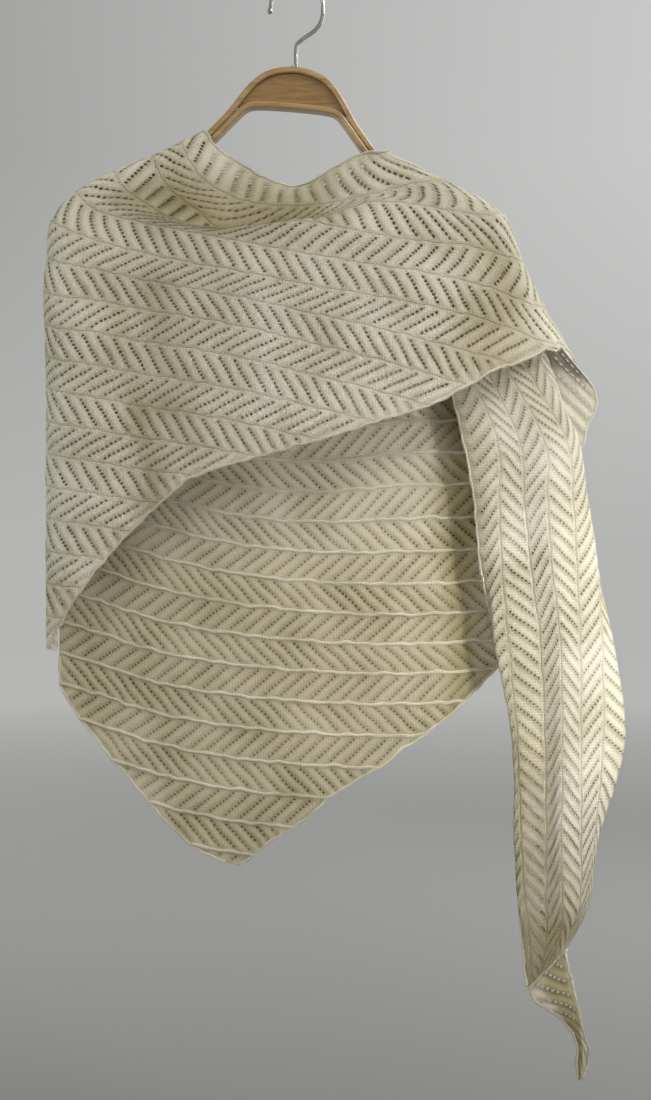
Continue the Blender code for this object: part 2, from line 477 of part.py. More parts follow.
def strip_solid(name, wood, middle, thickness):
    """A bent strip: a rectangle with rounded long edges swept along its middle line."""
    half = STRIP_DEPTH / 2
    low = thickness / 2
    r = EDGE_ROUND
    outline = (
        (-half, -low + r), (-half, low - r), (-half + r * 0.35, low - r * 0.35),
        (-half + r, low), (half - r, low), (half - r * 0.35, low - r * 0.35),
        (half, low - r), (half, -low + r), (half - r * 0.35, -low + r * 0.35),
        (half - r, -low), (-half + r, -low), (-half + r * 0.35, -low + r * 0.35),
    )
    step = np.gradient(middle, axis=0)
    step /= np.linalg.norm(step, axis=1, keepdims=True)
    up = np.stack([-step[:, 1], step[:, 0]], axis=1)
    mesh = bmesh.new()
    rings = []
    for p, n in zip(middle, up):
        rings.append([
            mesh.verts.new(hang(p[0] + n[0] * v, y, p[1] + n[1] * v)) for y, v in outline
        ])
    for a, b in zip(rings, rings[1:]):
        for j in range(len(outline)):
            k = (j + 1) % len(outline)
            mesh.faces.new((a[j], a[k], b[k], b[j]))
    mesh.faces.new(rings[0][::-1])
    mesh.faces.new(rings[-1])
    return finish(name, wood, mesh)


def panel_solid(name, wood, outline):
    """A flat board with the outline given in the hanger's plane."""
    mesh = bmesh.new()
    sides = [
        [mesh.verts.new(hang(x, y, z)) for x, z in outline]
        for y in (-PANEL_DEPTH / 2, PANEL_DEPTH / 2)
    ]
    mesh.faces.new(sides[0])
    mesh.faces.new(sides[1][::-1])
    for j in range(len(outline)):
        k = (j + 1) % len(outline)
        mesh.faces.new((sides[0][k], sides[0][j], sides[1][j], sides[1][k]))
    return finish(name, wood, mesh)


def tube_solid(name, metal, line, radii, sides=16):
    """A round wire along points in the hook's plane, closed by its end rings."""
    line = np.asarray(line, float)
    step = np.gradient(line, axis=0)
    step /= np.linalg.norm(step, axis=1, keepdims=True)
    mesh = bmesh.new()
    rings = []
    for p, d, r in zip(line, step, radii):
        ring = []
        for n in range(sides):
            angle = 2 * math.pi * n / sides
            across = r * math.cos(angle)
            x = p[0] - d[1] * across
            z = p[1] + d[0] * across
            ring.append(mesh.verts.new((x * MM, r * math.sin(angle) * MM, z * MM)))
        rings.append(ring)
    for a, b in zip(rings, rings[1:]):
        for j in range(sides):
            k = (j + 1) % sides
            mesh.faces.new((a[j], b[j], b[k], a[k]))
    mesh.faces.new(rings[0])
    mesh.faces.new(rings[-1][::-1])
    return finish(name, metal, mesh)


def hook_line():
    """Middle line of the hook wire: stem, bend to the right, over the top, tip at the left."""
    centre = WIRE / 2 - HOOK_RADIUS
    lower = [
        (STEM_X, STEM_LOW), (STEM_X, -72), (STEM_X, -64), (0.5, -57.5), (7.5, -51.5),
        (15.5, -46), (21.5, -38.5), (24.0, -30),
    ]
    line = [tuple(p) for p in smooth_line(lower, 22)]
    for n in range(0, 25):
        angle = math.radians(n * 180 / 24)
        line.append((HOOK_RADIUS * math.cos(angle), centre + HOOK_RADIUS * math.sin(angle)))
    line.append((-HOOK_RADIUS - 0.5, centre - 2.5))
    return line


def hook(metal):
    line = hook_line()
    radii = [WIRE / 2] * len(line)
    end = np.array(line[-1])
    for down, radius in ((1.0, 0.92), (2.2, 1.0), (3.6, 0.9), (4.6, 0.62), (5.2, 0.25)):
        line.append((end[0] - 0.12 * down, end[1] - down))
        radii.append(radius * TIP_BALL)
    return tube_solid("hook", metal, line, radii)


def collar(metal):
    """A ring about the stem that stands just clear of the outer strip."""
    low = HANGER_TOP[1] + 0.75
    radius, height = COLLAR
    inner = WIRE / 2 + 0.3
    outline = (
        (inner, 0.0), (radius, 0.0), (radius, height * 0.6), (radius - 0.7, height),
        (inner, height),
    )
    mesh = bmesh.new()
    rings = []
    for n in range(24):
        angle = 2 * math.pi * n / 24
        rings.append([
            mesh.verts.new((
                (STEM_X + r * math.cos(angle)) * MM, r * math.sin(angle) * MM, (low + z) * MM
            ))
            for r, z in outline
        ])
    for n, a in enumerate(rings):
        b = rings[(n + 1) % len(rings)]
        for j in range(len(outline)):
            k = (j + 1) % len(outline)
            mesh.faces.new((a[j], a[k], b[k], b[j]))
    return finish("hook_collar", metal, mesh)


def hanger(wood, panel_wood):
    contour = smooth_line(CONTOUR, 58)
    outer_half = offset_line(contour, STRIP / 2)
    inner_arm = offset_line(contour, STRIP * 1.5 + STRIP_GAP)
    arm = inner_arm[contour[:, 0] >= BAR_JOINS]
    inner_half = smooth_line(np.concatenate([np.array(BAR, float), arm[:-1:2], arm[-1:]]), 58)
    outer_half[0, 0] = 0.0
    inner_half[0, 0] = 0.0
    outer = strip_solid("outer_strip", wood, mirrored(outer_half), STRIP)
    strip_solid("inner_strip", wood, mirrored(inner_half), STRIP)
    drill_stem(outer)
    top = offset_line(contour, STRIP + STRIP_GAP)
    base = offset_line(inner_half, -STRIP / 2 - STRIP_GAP)
    room = top[:, 1] - np.interp(top[:, 0], base[:, 0], base[:, 1])
    top = top[: int(np.argmax((room < PANEL_END) & (top[:, 0] > 30)))]
    base = base[base[:, 0] <= top[-1, 0]]
    top[0, 0] = 0.0
    base[0, 0] = 0.0
    panel_solid("panel", panel_wood, np.concatenate([mirrored(top)[::-1], mirrored(base)]))


def drill_stem(strip):
    """Cuts the hole for the hook's stem through the outer strip."""
    data = bpy.data.meshes.new("stem_hole")
    mesh = bmesh.new()
    bmesh.ops.create_cone(
        mesh, cap_ends=True, segments=24, radius1=HOLE * MM, radius2=HOLE * MM, depth=16 * MM
    )
    bmesh.ops.translate(mesh, verts=mesh.verts, vec=(STEM_X * MM, 0, (HANGER_TOP[1] - 3) * MM))
    mesh.to_mesh(data)
    mesh.free()
    cutter = bpy.data.objects.new("stem_hole", data)
    bpy.context.collection.objects.link(cutter)
    cut = strip.modifiers.new("hole", "BOOLEAN")
    cut.operation = "DIFFERENCE"
    cut.solver = "EXACT"
    cut.object = cutter
    bpy.context.view_layer.objects.active = strip
    bpy.ops.object.modifier_apply(modifier=cut.name)
    bpy.data.objects.remove(cutter)


for old in list(bpy.data.objects):
    bpy.data.objects.remove(old)

wool = material("wool", (0.78, 0.76, 0.66), 0.9)
light_wood = material("bent_wood", (0.55, 0.38, 0.2), 0.4)
board_wood = material("panel_wood", (0.6, 0.42, 0.22), 0.42)
chrome = material("hook_chrome", (0.75, 0.75, 0.77), 0.15, 1.0)

hanger(light_wood, board_wood)
hook(chrome)
collar(chrome)
back_panel(wool)
front_wrap(wool)
neck_fold(wool)
end_flap(wool)
tail_front(wool)
tail_rear(wool)
tail_tip(wool)
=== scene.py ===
"""Ivory lace-knit shawl wrapped over a bent-wood hanger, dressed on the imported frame."""
import bpy
import math
import numpy as np
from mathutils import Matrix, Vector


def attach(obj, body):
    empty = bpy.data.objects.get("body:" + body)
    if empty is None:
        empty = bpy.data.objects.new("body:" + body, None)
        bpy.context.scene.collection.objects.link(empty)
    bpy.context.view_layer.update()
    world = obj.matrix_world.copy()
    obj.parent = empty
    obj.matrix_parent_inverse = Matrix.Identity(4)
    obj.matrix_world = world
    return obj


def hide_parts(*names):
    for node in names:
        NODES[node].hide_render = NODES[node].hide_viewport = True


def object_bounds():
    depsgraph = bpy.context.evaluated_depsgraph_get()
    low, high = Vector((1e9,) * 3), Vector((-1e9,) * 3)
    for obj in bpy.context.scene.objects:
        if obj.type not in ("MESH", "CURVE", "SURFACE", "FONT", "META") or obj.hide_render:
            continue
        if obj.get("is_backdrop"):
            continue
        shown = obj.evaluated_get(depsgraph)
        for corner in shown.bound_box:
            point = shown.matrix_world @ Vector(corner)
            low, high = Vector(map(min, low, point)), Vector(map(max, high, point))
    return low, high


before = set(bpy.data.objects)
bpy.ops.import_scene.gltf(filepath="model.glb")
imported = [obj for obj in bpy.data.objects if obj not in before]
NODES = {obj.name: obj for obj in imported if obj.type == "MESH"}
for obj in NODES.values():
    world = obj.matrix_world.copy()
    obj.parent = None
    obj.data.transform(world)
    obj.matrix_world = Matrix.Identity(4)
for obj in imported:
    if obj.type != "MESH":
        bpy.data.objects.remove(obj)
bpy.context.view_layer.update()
MM = 0.001

# Lace, in millimetres
COLUMN = 29.7         # width of a lace column, seam to seam
CELLS = 8             # eyelets in one slanting line
MARGIN = 3.1          # plain knitting beside each seam
GROOVE = (0.7, 0.5)   # a seam's groove on the right side, half its width and its depth
BORDER = 6.5          # plain border along the shawl's edges
CELL_LONG = 2.9       # length of a cell along the column
REPEAT = 5            # cells from one eyelet line to the next
STITCH_SHIFT = 40     # stitches that the stitch pattern moves on from column to column
HOLE_LONG = (0.48, 0.44)   # half an eyelet's length in even and odd columns, in cells
HOLE_WIDE = (0.42, 0.40)   # half its width
HOLE_DEEP = 1.0       # how far an eyelet's rim turns in
CUP_DEEP = 1.2        # how much deeper the middle of a closed eyelet lies than such a rim
RING = 8              # corners of an eyelet, two to each corner of its cell
RING_OUT = 1.08       # how much further out they lie than an oval, to have its area
RIB = 0.32            # how far the knitting between two eyelet lines swells
# Cells an eyelet line moves along for each cell across, in even and odd columns
SLANT_WRAP = (0.68, 1.40)
SLANT_BACK = (1.04, 1.04)
SLANT_TAIL = (1.05, 0.85)

# Rise of the knitting, which is also painted as its tone, 0 dark and 1 light: a painted highlight
# on the swells, painted shade in the seams and eyelets
PLAIN_RISE = 0.45     # beside a seam
LEVEL_RISE = 0.4      # where the swelling leaves the surface as it is
SEAM_PAINTED_SHADE = 0.1
RIM_PAINTED_SHADE = 0.05       # the mouth of an eyelet
HOLE_PAINTED_SHADE = -0.8      # the inner end of its rim
CUP_PAINTED_SHADE = -1.1       # the middle of a closed one
TUBE_RISE = 0.5       # cords and rolled edges

TUBE_SIDES = 8
TUBE_PITCH = 0.97     # distance between the rings of a tube, in millimetres

# Slow drift of the stitches across a sheet: size in seams, rate by station and by seam
DRIFT = ((0.016, 9, 3.7), (0.011, 19, 1.9))

WHOLE = (-1, 99)      # stations to keep of a sheet that isn't divided
ALL_CLOSED = 99       # station before which every eyelet is a closed cup painted dark with shade
NO_BARE = 99          # station from which there are no eyelets, past every sheet
TAIL_OPEN = 11.3      # station of the tail from which its eyelets go through
TIP_BARE = 5.2        # station of the tip from which it is plain
FLAP_AT = 13.5        # station of the wrap where it ends and its flap begins
TURN = 5.83           # seam where the tail's front layer turns into its rear layer
BACK_TIP = 23.38      # last place across the back panel

# Wool by tone, light to dark: lit wool, painted shade, and the painted shade deep in the eyelets;
# and the colour that painted shade of folds and shadows multiplies it by
WOOL = (0.95, 0.892, 0.745)
WOOL_SHADE = (0.50, 0.452, 0.285)
WOOL_HOLE_SHADE = (0.07, 0.06, 0.03)
PAINTED_SHADE_TINT = (0.52, 0.47, 0.30)
# Painted shade along folds of the wrap, where they keep the light out: station and seam at each
# end, half width in seams, depth from 0 to 1
PAINTED_FOLD_SHADES = (
    (5.2, 2.1, 8.5, 1.7, 1.5, 0.85),
    (4.8, 3.0, 7.6, 3.0, 1.0, 0.7),
    (5.6, 0.7, 9.0, 0.7, 0.9, 0.6),
    (7.6, 3.0, 9.5, 2.6, 0.5, 0.4),
    (6.0, 9.5, 6.5, 14.5, 0.5, 0.6),
    (6.3, 6.3, 6.6, 10.0, 0.8, 0.5),
    (5.4, 6.8, 6.0, 9.0, 0.6, 0.35),
    (11.8, 6.2, 12.6, 3.2, 0.9, 0.65),
)
STATION_LONG = 1.3    # length of a station of the wrap in seams, as the painted fold shade takes it

# Camera: level, straight on, in the photograph's 651 by 1100 frame
CAMERA_AT = (0.02639, -1.4, -0.52593)
CAMERA_LENS = 49.5

# Lights: place, aim, size in metres, power in watts, colour, spread in degrees
LIGHTS = {
    "key": ((1.4, -0.9, 1.0), (0.0, 0.0, -0.5), 0.9, 23, (1, 0.98, 0.95), 180),
    "side": ((1.15, -1.05, -0.45), (0.38, 0.0, -0.58), 0.3, 0.9, (1, 1, 0.99), 30),
    "fill": ((-1.5, -1.3, 0.0), (-0.2, 0.0, -0.6), 1.0, 11, (1, 1, 1), 180),
    "rear": ((0.8, 1.6, 0.5), (0.0, 0.0, -0.5), 1.2, 10, (1, 1, 1), 180),
}
FLOOR_Z = -1.25
FLOOR_HALF = 30
# Painted shade: the floor's tone under the object is the dark one
FLOOR_TONES = ((0.28, 0.28, 0.275), (0.97, 0.97, 0.965))   # under the object and far away
FLOOR_FADE = (0.5, 6.0)       # distances between which one passes into the other
SKY_TONES = ((0.35, 0.35, 0.345), (0.60, 0.60, 0.595))     # to the left and to the right
SKY_TURN = 0.25       # how far to each side the sky's tone changes, as a ray's X
SKY_LIFT = 0.25       # how high above the horizon it is all there, as a ray's Z
SKY_LEVEL = 0.44      # the one tone at the horizon, between the two

# The draped surfaces, in millimetres, as in the solids: a row for each station along a
# column, in it x, y, z for each of the seams
WRAP_SEAMS = (0, 1, 2, 3, 4, 5, 6, 10, 14, 18)
WRAP_ROWS = (
    ((-90.6, 10, -154.8), (-113, 10, -165), (-141, 10, -177.2), (-172.7, 10, -190.2),
     (-202.5, 10, -210.7), (-219.5, 11, -236.6), (-223.4, 12, -262.6), (-223.6, 13, -382),
     (-223.2, 11, -501.7), (-222.9, 9, -621)),
    ((-88.7, 9.2, -140.5), (-110.2, 9.2, -150.8), (-137.6, 9.2, -162.4), (-172.6, 9.2, -177.4),
     (-206.1, 9, -196), (-227.2, 7, -226.3), (-230.7, 6, -257.2), (-230.5, 5, -377.8),
     (-230.5, 4.5, -498.2), (-230.4, 4, -618.6)),
    ((-87.1, 0.3, -137.9), (-108.8, 0.3, -148.3), (-136.1, 0.3, -160.6), (-171.4, 0.5, -175.3),
     (-205.6, 0, -194), (-227.2, -3, -221.9), (-231.3, -6, -255.8), (-230.9, -8, -376.2),
     (-231.5, -5, -496.2), (-232, -2, -616.7)),
    ((-82.6, -9.8, -142.9), (-105.6, -9.5, -153.1), (-132.2, -9.7, -165.5), (-167.1, -10, -179.9),
     (-201, -10.8, -199.1), (-222.8, -12, -225.7), (-225.8, -16, -259.6), (-225.2, -19, -378.9),
     (-226.2, -13.5, -497.5), (-227.2, -8, -617.1)),
    ((-74.3, -9, -155.2), (-99.1, -10.5, -167.5), (-126.5, -11.5, -179.7), (-161.3, -12.5, -191),
     (-192.2, -14, -208.8), (-212.6, -18, -231.6), (-214.7, -22, -264.4), (-214.1, -25, -382.4),
     (-215.3, -18.5, -499.8), (-216.4, -12, -618.3)),
    ((-52.3, -8.8, -169.8), (-84.1, -13, -187.4), (-114.2, -15, -197.1), (-146.9, -17, -203),
     (-176.2, -17, -217.7), (-186.6, -21, -242.3), (-183.2, -25, -270.4), (-182.6, -29, -387.6),
     (-183.6, -22.5, -503.9), (-184.6, -16, -621.3)),
    ((-30.2, -9, -182.8), (-55.5, -16, -203.7), (-88, -22, -217.9), (-119.5, -26, -221.5),
     (-142.7, -22, -227), (-147.4, -21, -253.2), (-144.5, -22, -278.9), (-144.5, -22, -394.5),
     (-144.7, -20, -510), (-145, -18, -625.9)),
    ((-6.3, -9, -191.1), (-31.7, -18, -209.7), (-64.2, -24, -237.4), (-84.2, -35, -233.4),
     (-96.1, -33, -238.4), (-98, -32, -265.4), (-96.1, -33, -289.1), (-96, -34, -402.3),
     (-96.3, -31, -515.4), (-96.6, -28, -629)),
    ((13, -9, -186.5), (-2.4, -19, -211.7), (-25.9, -25, -242.2), (-38.9, -39, -233.4),
     (-41.6, -39, -249.6), (-41.5, -41, -277), (-41.4, -42, -300.5), (-41.4, -43, -413),
     (-41.4, -41.5, -525.4), (-41.5, -40, -638)),
    ((30.5, -9, -176.3), (26.8, -19, -209), (19.6, -25, -225.8), (7.9, -38, -229.6),
     (12.5, -41, -259.9), (12.5, -43, -288.1), (12.5, -44, -313.4), (12.5, -47, -425.5),
     (12.5, -46.5, -537.2), (12.5, -46, -649)),
    ((45.2, -9.5, -168.2), (50.6, -18, -204.2), (62.3, -25, -210.4), (57.5, -36, -238.2),
     (66.4, -40, -268.7), (66.3, -44, -297.2), (66.2, -46, -325.3), (66.2, -49, -438.4),
     (66.2, -48.5, -551), (66.2, -48, -663.6)),
    ((58.1, -10.5, -162.9), (76.2, -17, -198.5), (98.8, -23, -209.9), (107.4, -32, -245.4),
     (120.6, -37, -276.2), (120.2, -42, -306.8), (120, -46, -338.8), (119.8, -49, -451.8),
     (119.8, -48.5, -564.4), (119.8, -48, -677)),
    ((68.2, -12, -160.6), (103.7, -17, -191.2), (139.9, -21, -215.8), (157.7, -26, -249.7),
     (172.6, -31, -287.8), (174.8, -36, -319.3), (176, -41, -353.4), (175.7, -44, -468.5),
     (175.7, -44, -583.3), (175.7, -44, -698.1)),
    ((75.5, -12.6, -160.3), (123.9, -15, -187), (173.2, -17, -219.5), (193, -20, -258.5),
     (210.8, -23, -301), (224.8, -27, -337), (228, -30, -368.3), (227.7, -32, -484.3),
     (227.7, -32, -600.1), (227.7, -32, -715.9)),
    ((80.2, -10, -160), (129.8, -10.5, -185), (183.9, -11, -216.3), (203.1, -12, -258.8),
     (223.2, -13, -302.1), (241.2, -15, -337.2), (248.2, -17, -370.4), (251.9, -17, -487.5),
     (251.9, -17, -604.6), (251.9, -17, -721.7)),
    ((83.4, 1, -155.8), (135.3, 1, -181.7), (189.9, 1, -214.1), (210.4, 2, -259.8),
     (231.8, 2, -303.4), (250.2, 1, -338.8), (259.4, 1, -372.1), (264.8, 0, -490.7),
     (264.8, 0, -609.3), (264.8, 0, -727.8)),
    ((84.8, 13, -156.3), (137.2, 13.5, -182.8), (191.4, 14, -217.3), (212.2, 15, -263.9),
     (235.6, 15, -308.8), (257.8, 14, -345.4), (271.9, 14, -378.2), (277.5, 14, -497.9),
     (277.5, 14, -617.6), (277.5, 14, -737.3)),
    ((86, 19, -171.2), (135.8, 20, -197.2), (186.7, 22, -232.5), (210.3, 22, -273.9),
     (236.6, 22, -316.2), (263.7, 21, -354.9), (280.6, 21, -386.8), (286.2, 21, -507.1),
     (286.2, 21, -627.4), (286.2, 21, -747.7)),
    ((98.3, 22, -243.8), (136, 23, -264.3), (175.7, 24, -290.5), (207.7, 24, -323.4),
     (239.6, 23, -356.5), (281.5, 21, -383.1), (295.6, 21, -403.7), (301.3, 21, -524),
     (301.3, 21, -644.3), (301.3, 21, -764.6)),
    ((124.7, 22, -356.6), (154.9, 23, -369.7), (186, 24, -384.7), (217.1, 24, -401.6),
     (247.1, 23, -416.8), (277, 22, -428.1), (303.4, 22, -439.4), (309, 22, -559.8),
     (309, 22, -680.2), (309, 22, -800.5)),
    ((158.5, 22, -460.1), (183.1, 23, -466.6), (209.6, 24, -474.1), (233.9, 23, -480.8),
     (258.2, 22, -488.3), (282.7, 22, -495.8), (303.4, 22, -503.4), (309, 22, -623.7),
     (309, 22, -744.1), (309, 22, -864.5)),
    ((209.2, 21, -561.6), (228, 21, -565.4), (244.9, 21, -569.2), (261.8, 21, -572.9),
     (278.7, 21, -576.7), (295.6, 21, -580.4), (312.6, 21, -584.2), (318.2, 21, -704.5),
     (318.2, 21, -824.8), (318.2, 21, -945.1)),
)
# Seam where the slanted hem lies in each row of the wrap
HEM = (
    19.2, 18.5, 18.2, 17.9, 17.2, 15.4, 13.75, 12.05, 11.1, 10.15, 9.1, 8, 6.35, 5.2, 5.1,
    5.05, 5.05, 5.05, 5, 4.75, 3.2, 0.35,
)
BACK_SEAMS = (0, 1, 2, 3, 4, 5, 6, 10, 14, 18, 21, 23.4)
BACK_ROWS = (
    ((-90.6, 10, -154.8), (-113, 10, -165), (-141, 10, -177.2), (-172.7, 10, -190.2),
     (-202.5, 10, -210.7), (-219.5, 11, -236.6), (-223.4, 12, -262.6), (-223.6, 13, -382),
     (-223.2, 11, -501.7), (-222.9, 9, -621), (-222.7, 8, -704.7), (-222.5, 7, -772.5)),
    ((-75.8, 10.5, -168.6), (-95.4, 10.5, -183.6), (-119.6, 10.5, -196.6), (-147.6, 10.5, -208.7),
     (-171.8, 10.5, -224.6), (-185.1, 11.8, -247.7), (-184.3, 13, -274.5), (-184.8, 16, -397.6),
     (-184.9, 17, -514.7), (-184.6, 15, -632.6), (-183.9, 10, -717.1), (-183.6, 8, -784.8)),
    ((-51.5, 10.5, -182.6), (-68.3, 10.5, -200.4), (-88.8, 10.5, -215.3), (-109.3, 10.5, -228.3),
     (-123.3, 10.5, -245.1), (-128.2, 12, -268.2), (-128.3, 13.5, -293.1), (-128.4, 14.5, -418.3),
     (-128.2, 12, -532.5), (-128, 10.5, -650), (-128.2, 12, -735.1), (-128.3, 13, -804.4)),
    ((-20.7, 10.5, -194.8), (-32.8, 10.5, -211.5), (-44, 10.5, -229.3), (-53.4, 10.5, -247.9),
     (-57.1, 10.5, -268.5), (-58.1, 12, -290.6), (-58.2, 13.5, -312.8), (-58.2, 13, -437.1),
     (-58.1, 11, -547.4), (-58.2, 14, -661.5), (-58.4, 16, -749.8), (-58.3, 15, -820.7)),
    ((8.2, 10.5, -192.9), (8.2, 10.5, -211.5), (11.9, 10.5, -230.2), (15.7, 10.5, -251.7),
     (18.5, 10.5, -274.1), (20.3, 12.2, -297.1), (21.2, 14, -323), (21.2, 16, -442.6),
     (21.2, 17, -555.9), (21.2, 15, -668.2), (21.3, 12, -756.6), (21.3, 12, -826.6)),
    ((36.2, 11.5, -182.4), (47.4, 11.5, -203.9), (65.1, 11.5, -225.3), (79.1, 11.5, -247.7),
     (89.4, 11.5, -271.1), (94.1, 12.5, -295.2), (96, 13.5, -321.2), (96.1, 15, -435.1),
     (96, 13, -557.7), (96, 12, -669.7), (96.1, 14, -758.8), (96.1, 15, -829.1)),
    ((61.4, 12.6, -170), (84.8, 12.6, -193.3), (111.9, 12.6, -217.6), (135.2, 12.6, -242.8),
     (153, 12.6, -267.1), (163.3, 12.8, -290.5), (168.9, 13, -315.7), (170.7, 12.5, -434.4),
     (170.8, 13.5, -554.9), (171, 15, -666.3), (171, 15, -756.1), (171, 15, -825.4)),
    ((84.8, 12.8, -163.4), (114.7, 12.8, -185.8), (144.6, 12.8, -212), (173.6, 12.8, -239.1),
     (200.7, 12.8, -264.3), (219.4, 12.9, -288.6), (229.6, 13, -312.9), (231.4, 12.5, -432.5),
     (231.4, 12, -552.1), (231.4, 12, -662.3), (231.4, 12, -751.9), (231.4, 12, -821)),
)
# Seam and station along the back panel's two slanted edges
BACK_LEFT = (
    (18.1, 0.035), (18.6, 0.035), (19, 0.048), (19.4, 0.19), (20, 0.571), (20.4, 0.881),
    (21, 1.217), (21.45, 1.55), (22, 1.833), (22.5, 2.107), (22.85, 2.307), (23.2, 2.6),
    (23.35, 2.88),
)
BACK_RIGHT = (
    (15.3, 7), (16.5, 6.462), (17.5, 6), (18.4, 5.625), (18.9, 5.35), (19.2, 5.2),
    (19.4, 5.025), (19.8, 4.875), (20.05, 4.7), (20.5, 4.375), (21.05, 4.075),
    (21.8, 3.788), (22.45, 3.447), (23, 3.224), (23.35, 3.059),
)
TAIL_SEAMS = (0, 0.5, 1, 2, 3, 4, 5, 5.8)
TAIL_ROWS = (
    ((86.5, 8.9, -171.4), (97.7, 8.9, -179.3), (109.8, 8.9, -187.7), (135.9, 8.9, -207.2),
     (161, 8.9, -228.7), (181.5, 8.9, -250.1), (195.5, 8.9, -267.8), (203.9, 8.9, -281.8)),
    ((83.7, 8.7, -161.9), (93, 8.7, -167.1), (103.3, 8.7, -172.8), (123.7, 8.7, -184.3),
     (144.2, 8.7, -195.8), (162.9, 8.7, -206.2), (178.7, 8.7, -215.1), (186.2, 8.7, -219.3)),
    ((83.3, 0.3, -161.7), (92.6, 0.3, -166.9), (102.8, 0.3, -172.6), (123.2, 0.3, -184),
     (143.5, 0.3, -195.4), (162.1, 0.3, -205.8), (177.8, 0.3, -214.6), (185.2, 0.3, -218.8)),
    ((83, -8.8, -166.4), (92.2, -8.8, -171.6), (102.3, -8.8, -177.2), (122.5, -8.8, -188.6),
     (142.8, -8.8, -199.9), (161.2, -8.8, -210.2), (176.8, -8.8, -219), (184.2, -8.8, -223.1)),
    ((86.6, -10.6, -194.2), (95.8, -10.6, -199.3), (105, -10.6, -204.5), (124.3, -10.6, -215.3),
     (143.6, -10.6, -226.1), (161.9, -10.6, -236.4), (177.6, -10.6, -245.1), (185.1, -8.6, -248.9)),
    ((107.6, -12, -268.9), (116.8, -12, -268.9), (126, -12, -268.9), (143.4, -12, -268.9),
     (160.8, -13, -269.1), (176.4, -13, -269.1), (187.5, -12, -268.9), (193.4, -9, -268.3)),
    ((131.4, -13, -342.5), (140.5, -14, -342.6), (149.7, -14, -342.6), (166.1, -15, -342.7),
     (183.4, -16, -342.9), (201.7, -16, -342.9), (219.5, -13, -342.5), (228.5, -8, -341.8)),
    ((152.5, -13, -425), (168.6, -17, -425.3), (183.1, -18, -425.4), (203.1, -19, -425.5),
     (225.5, -22, -425.7), (245.9, -20, -425.5), (257.8, -14, -425.1), (255.2, -8, -424.7)),
    ((162.7, -12, -480), (174.1, -17, -480.2), (185, -18, -480.2), (207.6, -20, -480.3),
     (228, -24, -480.4), (252, -22, -480.4), (266.8, -15, -480.1), (264.2, -9, -479.9)),
    ((169.2, -11, -544.3), (178.8, -16, -544.2), (187.7, -18, -544.2), (213.9, -20, -544.2),
     (232.4, -25, -544.1), (255.4, -23, -544.1), (275.6, -17, -544.2), (276, -10, -544.3)),
    ((184.2, -9, -608.7), (180.6, -16, -608.3), (193.2, -18, -608.2), (222.2, -20, -608.1),
     (239.5, -26, -607.7), (258, -24, -607.8), (278.9, -19, -608.1), (290.3, -12, -608.5)),
    ((211.1, -7, -701), (197.5, -13, -700.2), (201.7, -16, -699.8), (226.9, -19, -699.5),
     (241.3, -26, -698.6), (258.9, -24, -698.8), (279.8, -19, -699.5), (301.3, -12, -700.3)),
    ((207.6, -6, -793.3), (199.4, -12, -792.1), (205.5, -15, -791.6), (227.8, -19, -790.8),
     (240.4, -26, -789.5), (259.4, -21, -790.4), (272.2, -16, -791.4), (277.2, -11, -792.3)),
    ((204.4, -9, -847.9), (202.6, -12, -847.2), (209.3, -14, -846.8), (227.9, -18, -845.8),
     (241.6, -24, -844.4), (259, -18, -845.8), (265.8, -16, -846.3), (269.7, -12, -847.2)),
    ((206, -11, -875), (208.1, -12.5, -874.6), (213, -13.5, -874.4), (228.9, -17.5, -873.4),
     (241.3, -20.5, -872.6), (250.9, -17.5, -873.4), (254.7, -16.5, -873.6),
     (258.1, -12.5, -874.6)),
    ((210.9, -12, -926.2), (213.1, -13, -927.7), (216.1, -14, -924.7), (223.8, -15, -915.2),
     (232.8, -16, -905.8), (240.1, -16, -898.5), (243.8, -16, -894.8), (245.3, -15, -893.7)),
)
REAR_SEAMS = (TURN, 6.3, 7.5, 9)
REAR_ROWS = (
    ((193.4, -7.6, -249.7), (192, -1.3, -248.4), (160.6, 4, -247.4), (127.1, 3, -247.6)),
    ((208.7, -6.8, -295.6), (207.2, -1.9, -294.8), (175.2, 2, -294.1), (137.1, 1, -294.3)),
    ((228.1, -6.6, -341.6), (226.5, -2.3, -341), (193.6, 1, -340.6), (149.1, 0, -340.7)),
    ((254.8, -6.8, -424.6), (253.2, -2.9, -424.3), (217.6, 0, -424.1), (171.2, -1, -424.1)),
    ((263.9, -7.8, -479.9), (262.2, -4.4, -479.8), (227.5, -2, -479.7), (180.2, -3, -479.7)),
    ((275.6, -8.8, -544.3), (274, -5.4, -544.4), (239.4, -3, -544.4), (187.5, -4, -544.4)),
    ((290, -10.8, -608.6), (288.6, -6.4, -608.9), (248.6, -3, -609.1), (198.6, -4, -609)),
    ((301, -10.8, -700.5), (299.8, -5.9, -701.1), (259.9, -2, -701.6), (219, -3, -701.5)),
    ((276.4, -9.6, -792.6), (275, -5.3, -793.4), (252.5, -2, -794.1), (222.7, -3, -793.9)),
    ((268.9, -10.6, -847.5), (267.5, -5.8, -848.7), (250.6, -2, -849.5), (225.5, -3, -849.3)),
    ((248.6, -11.3, -888.7), (247.1, -6.7, -889.9), (239.4, -3, -890.9), (227.2, -4, -890.6)),
)
TIP_SEAMS = (0, 0.5, 1)
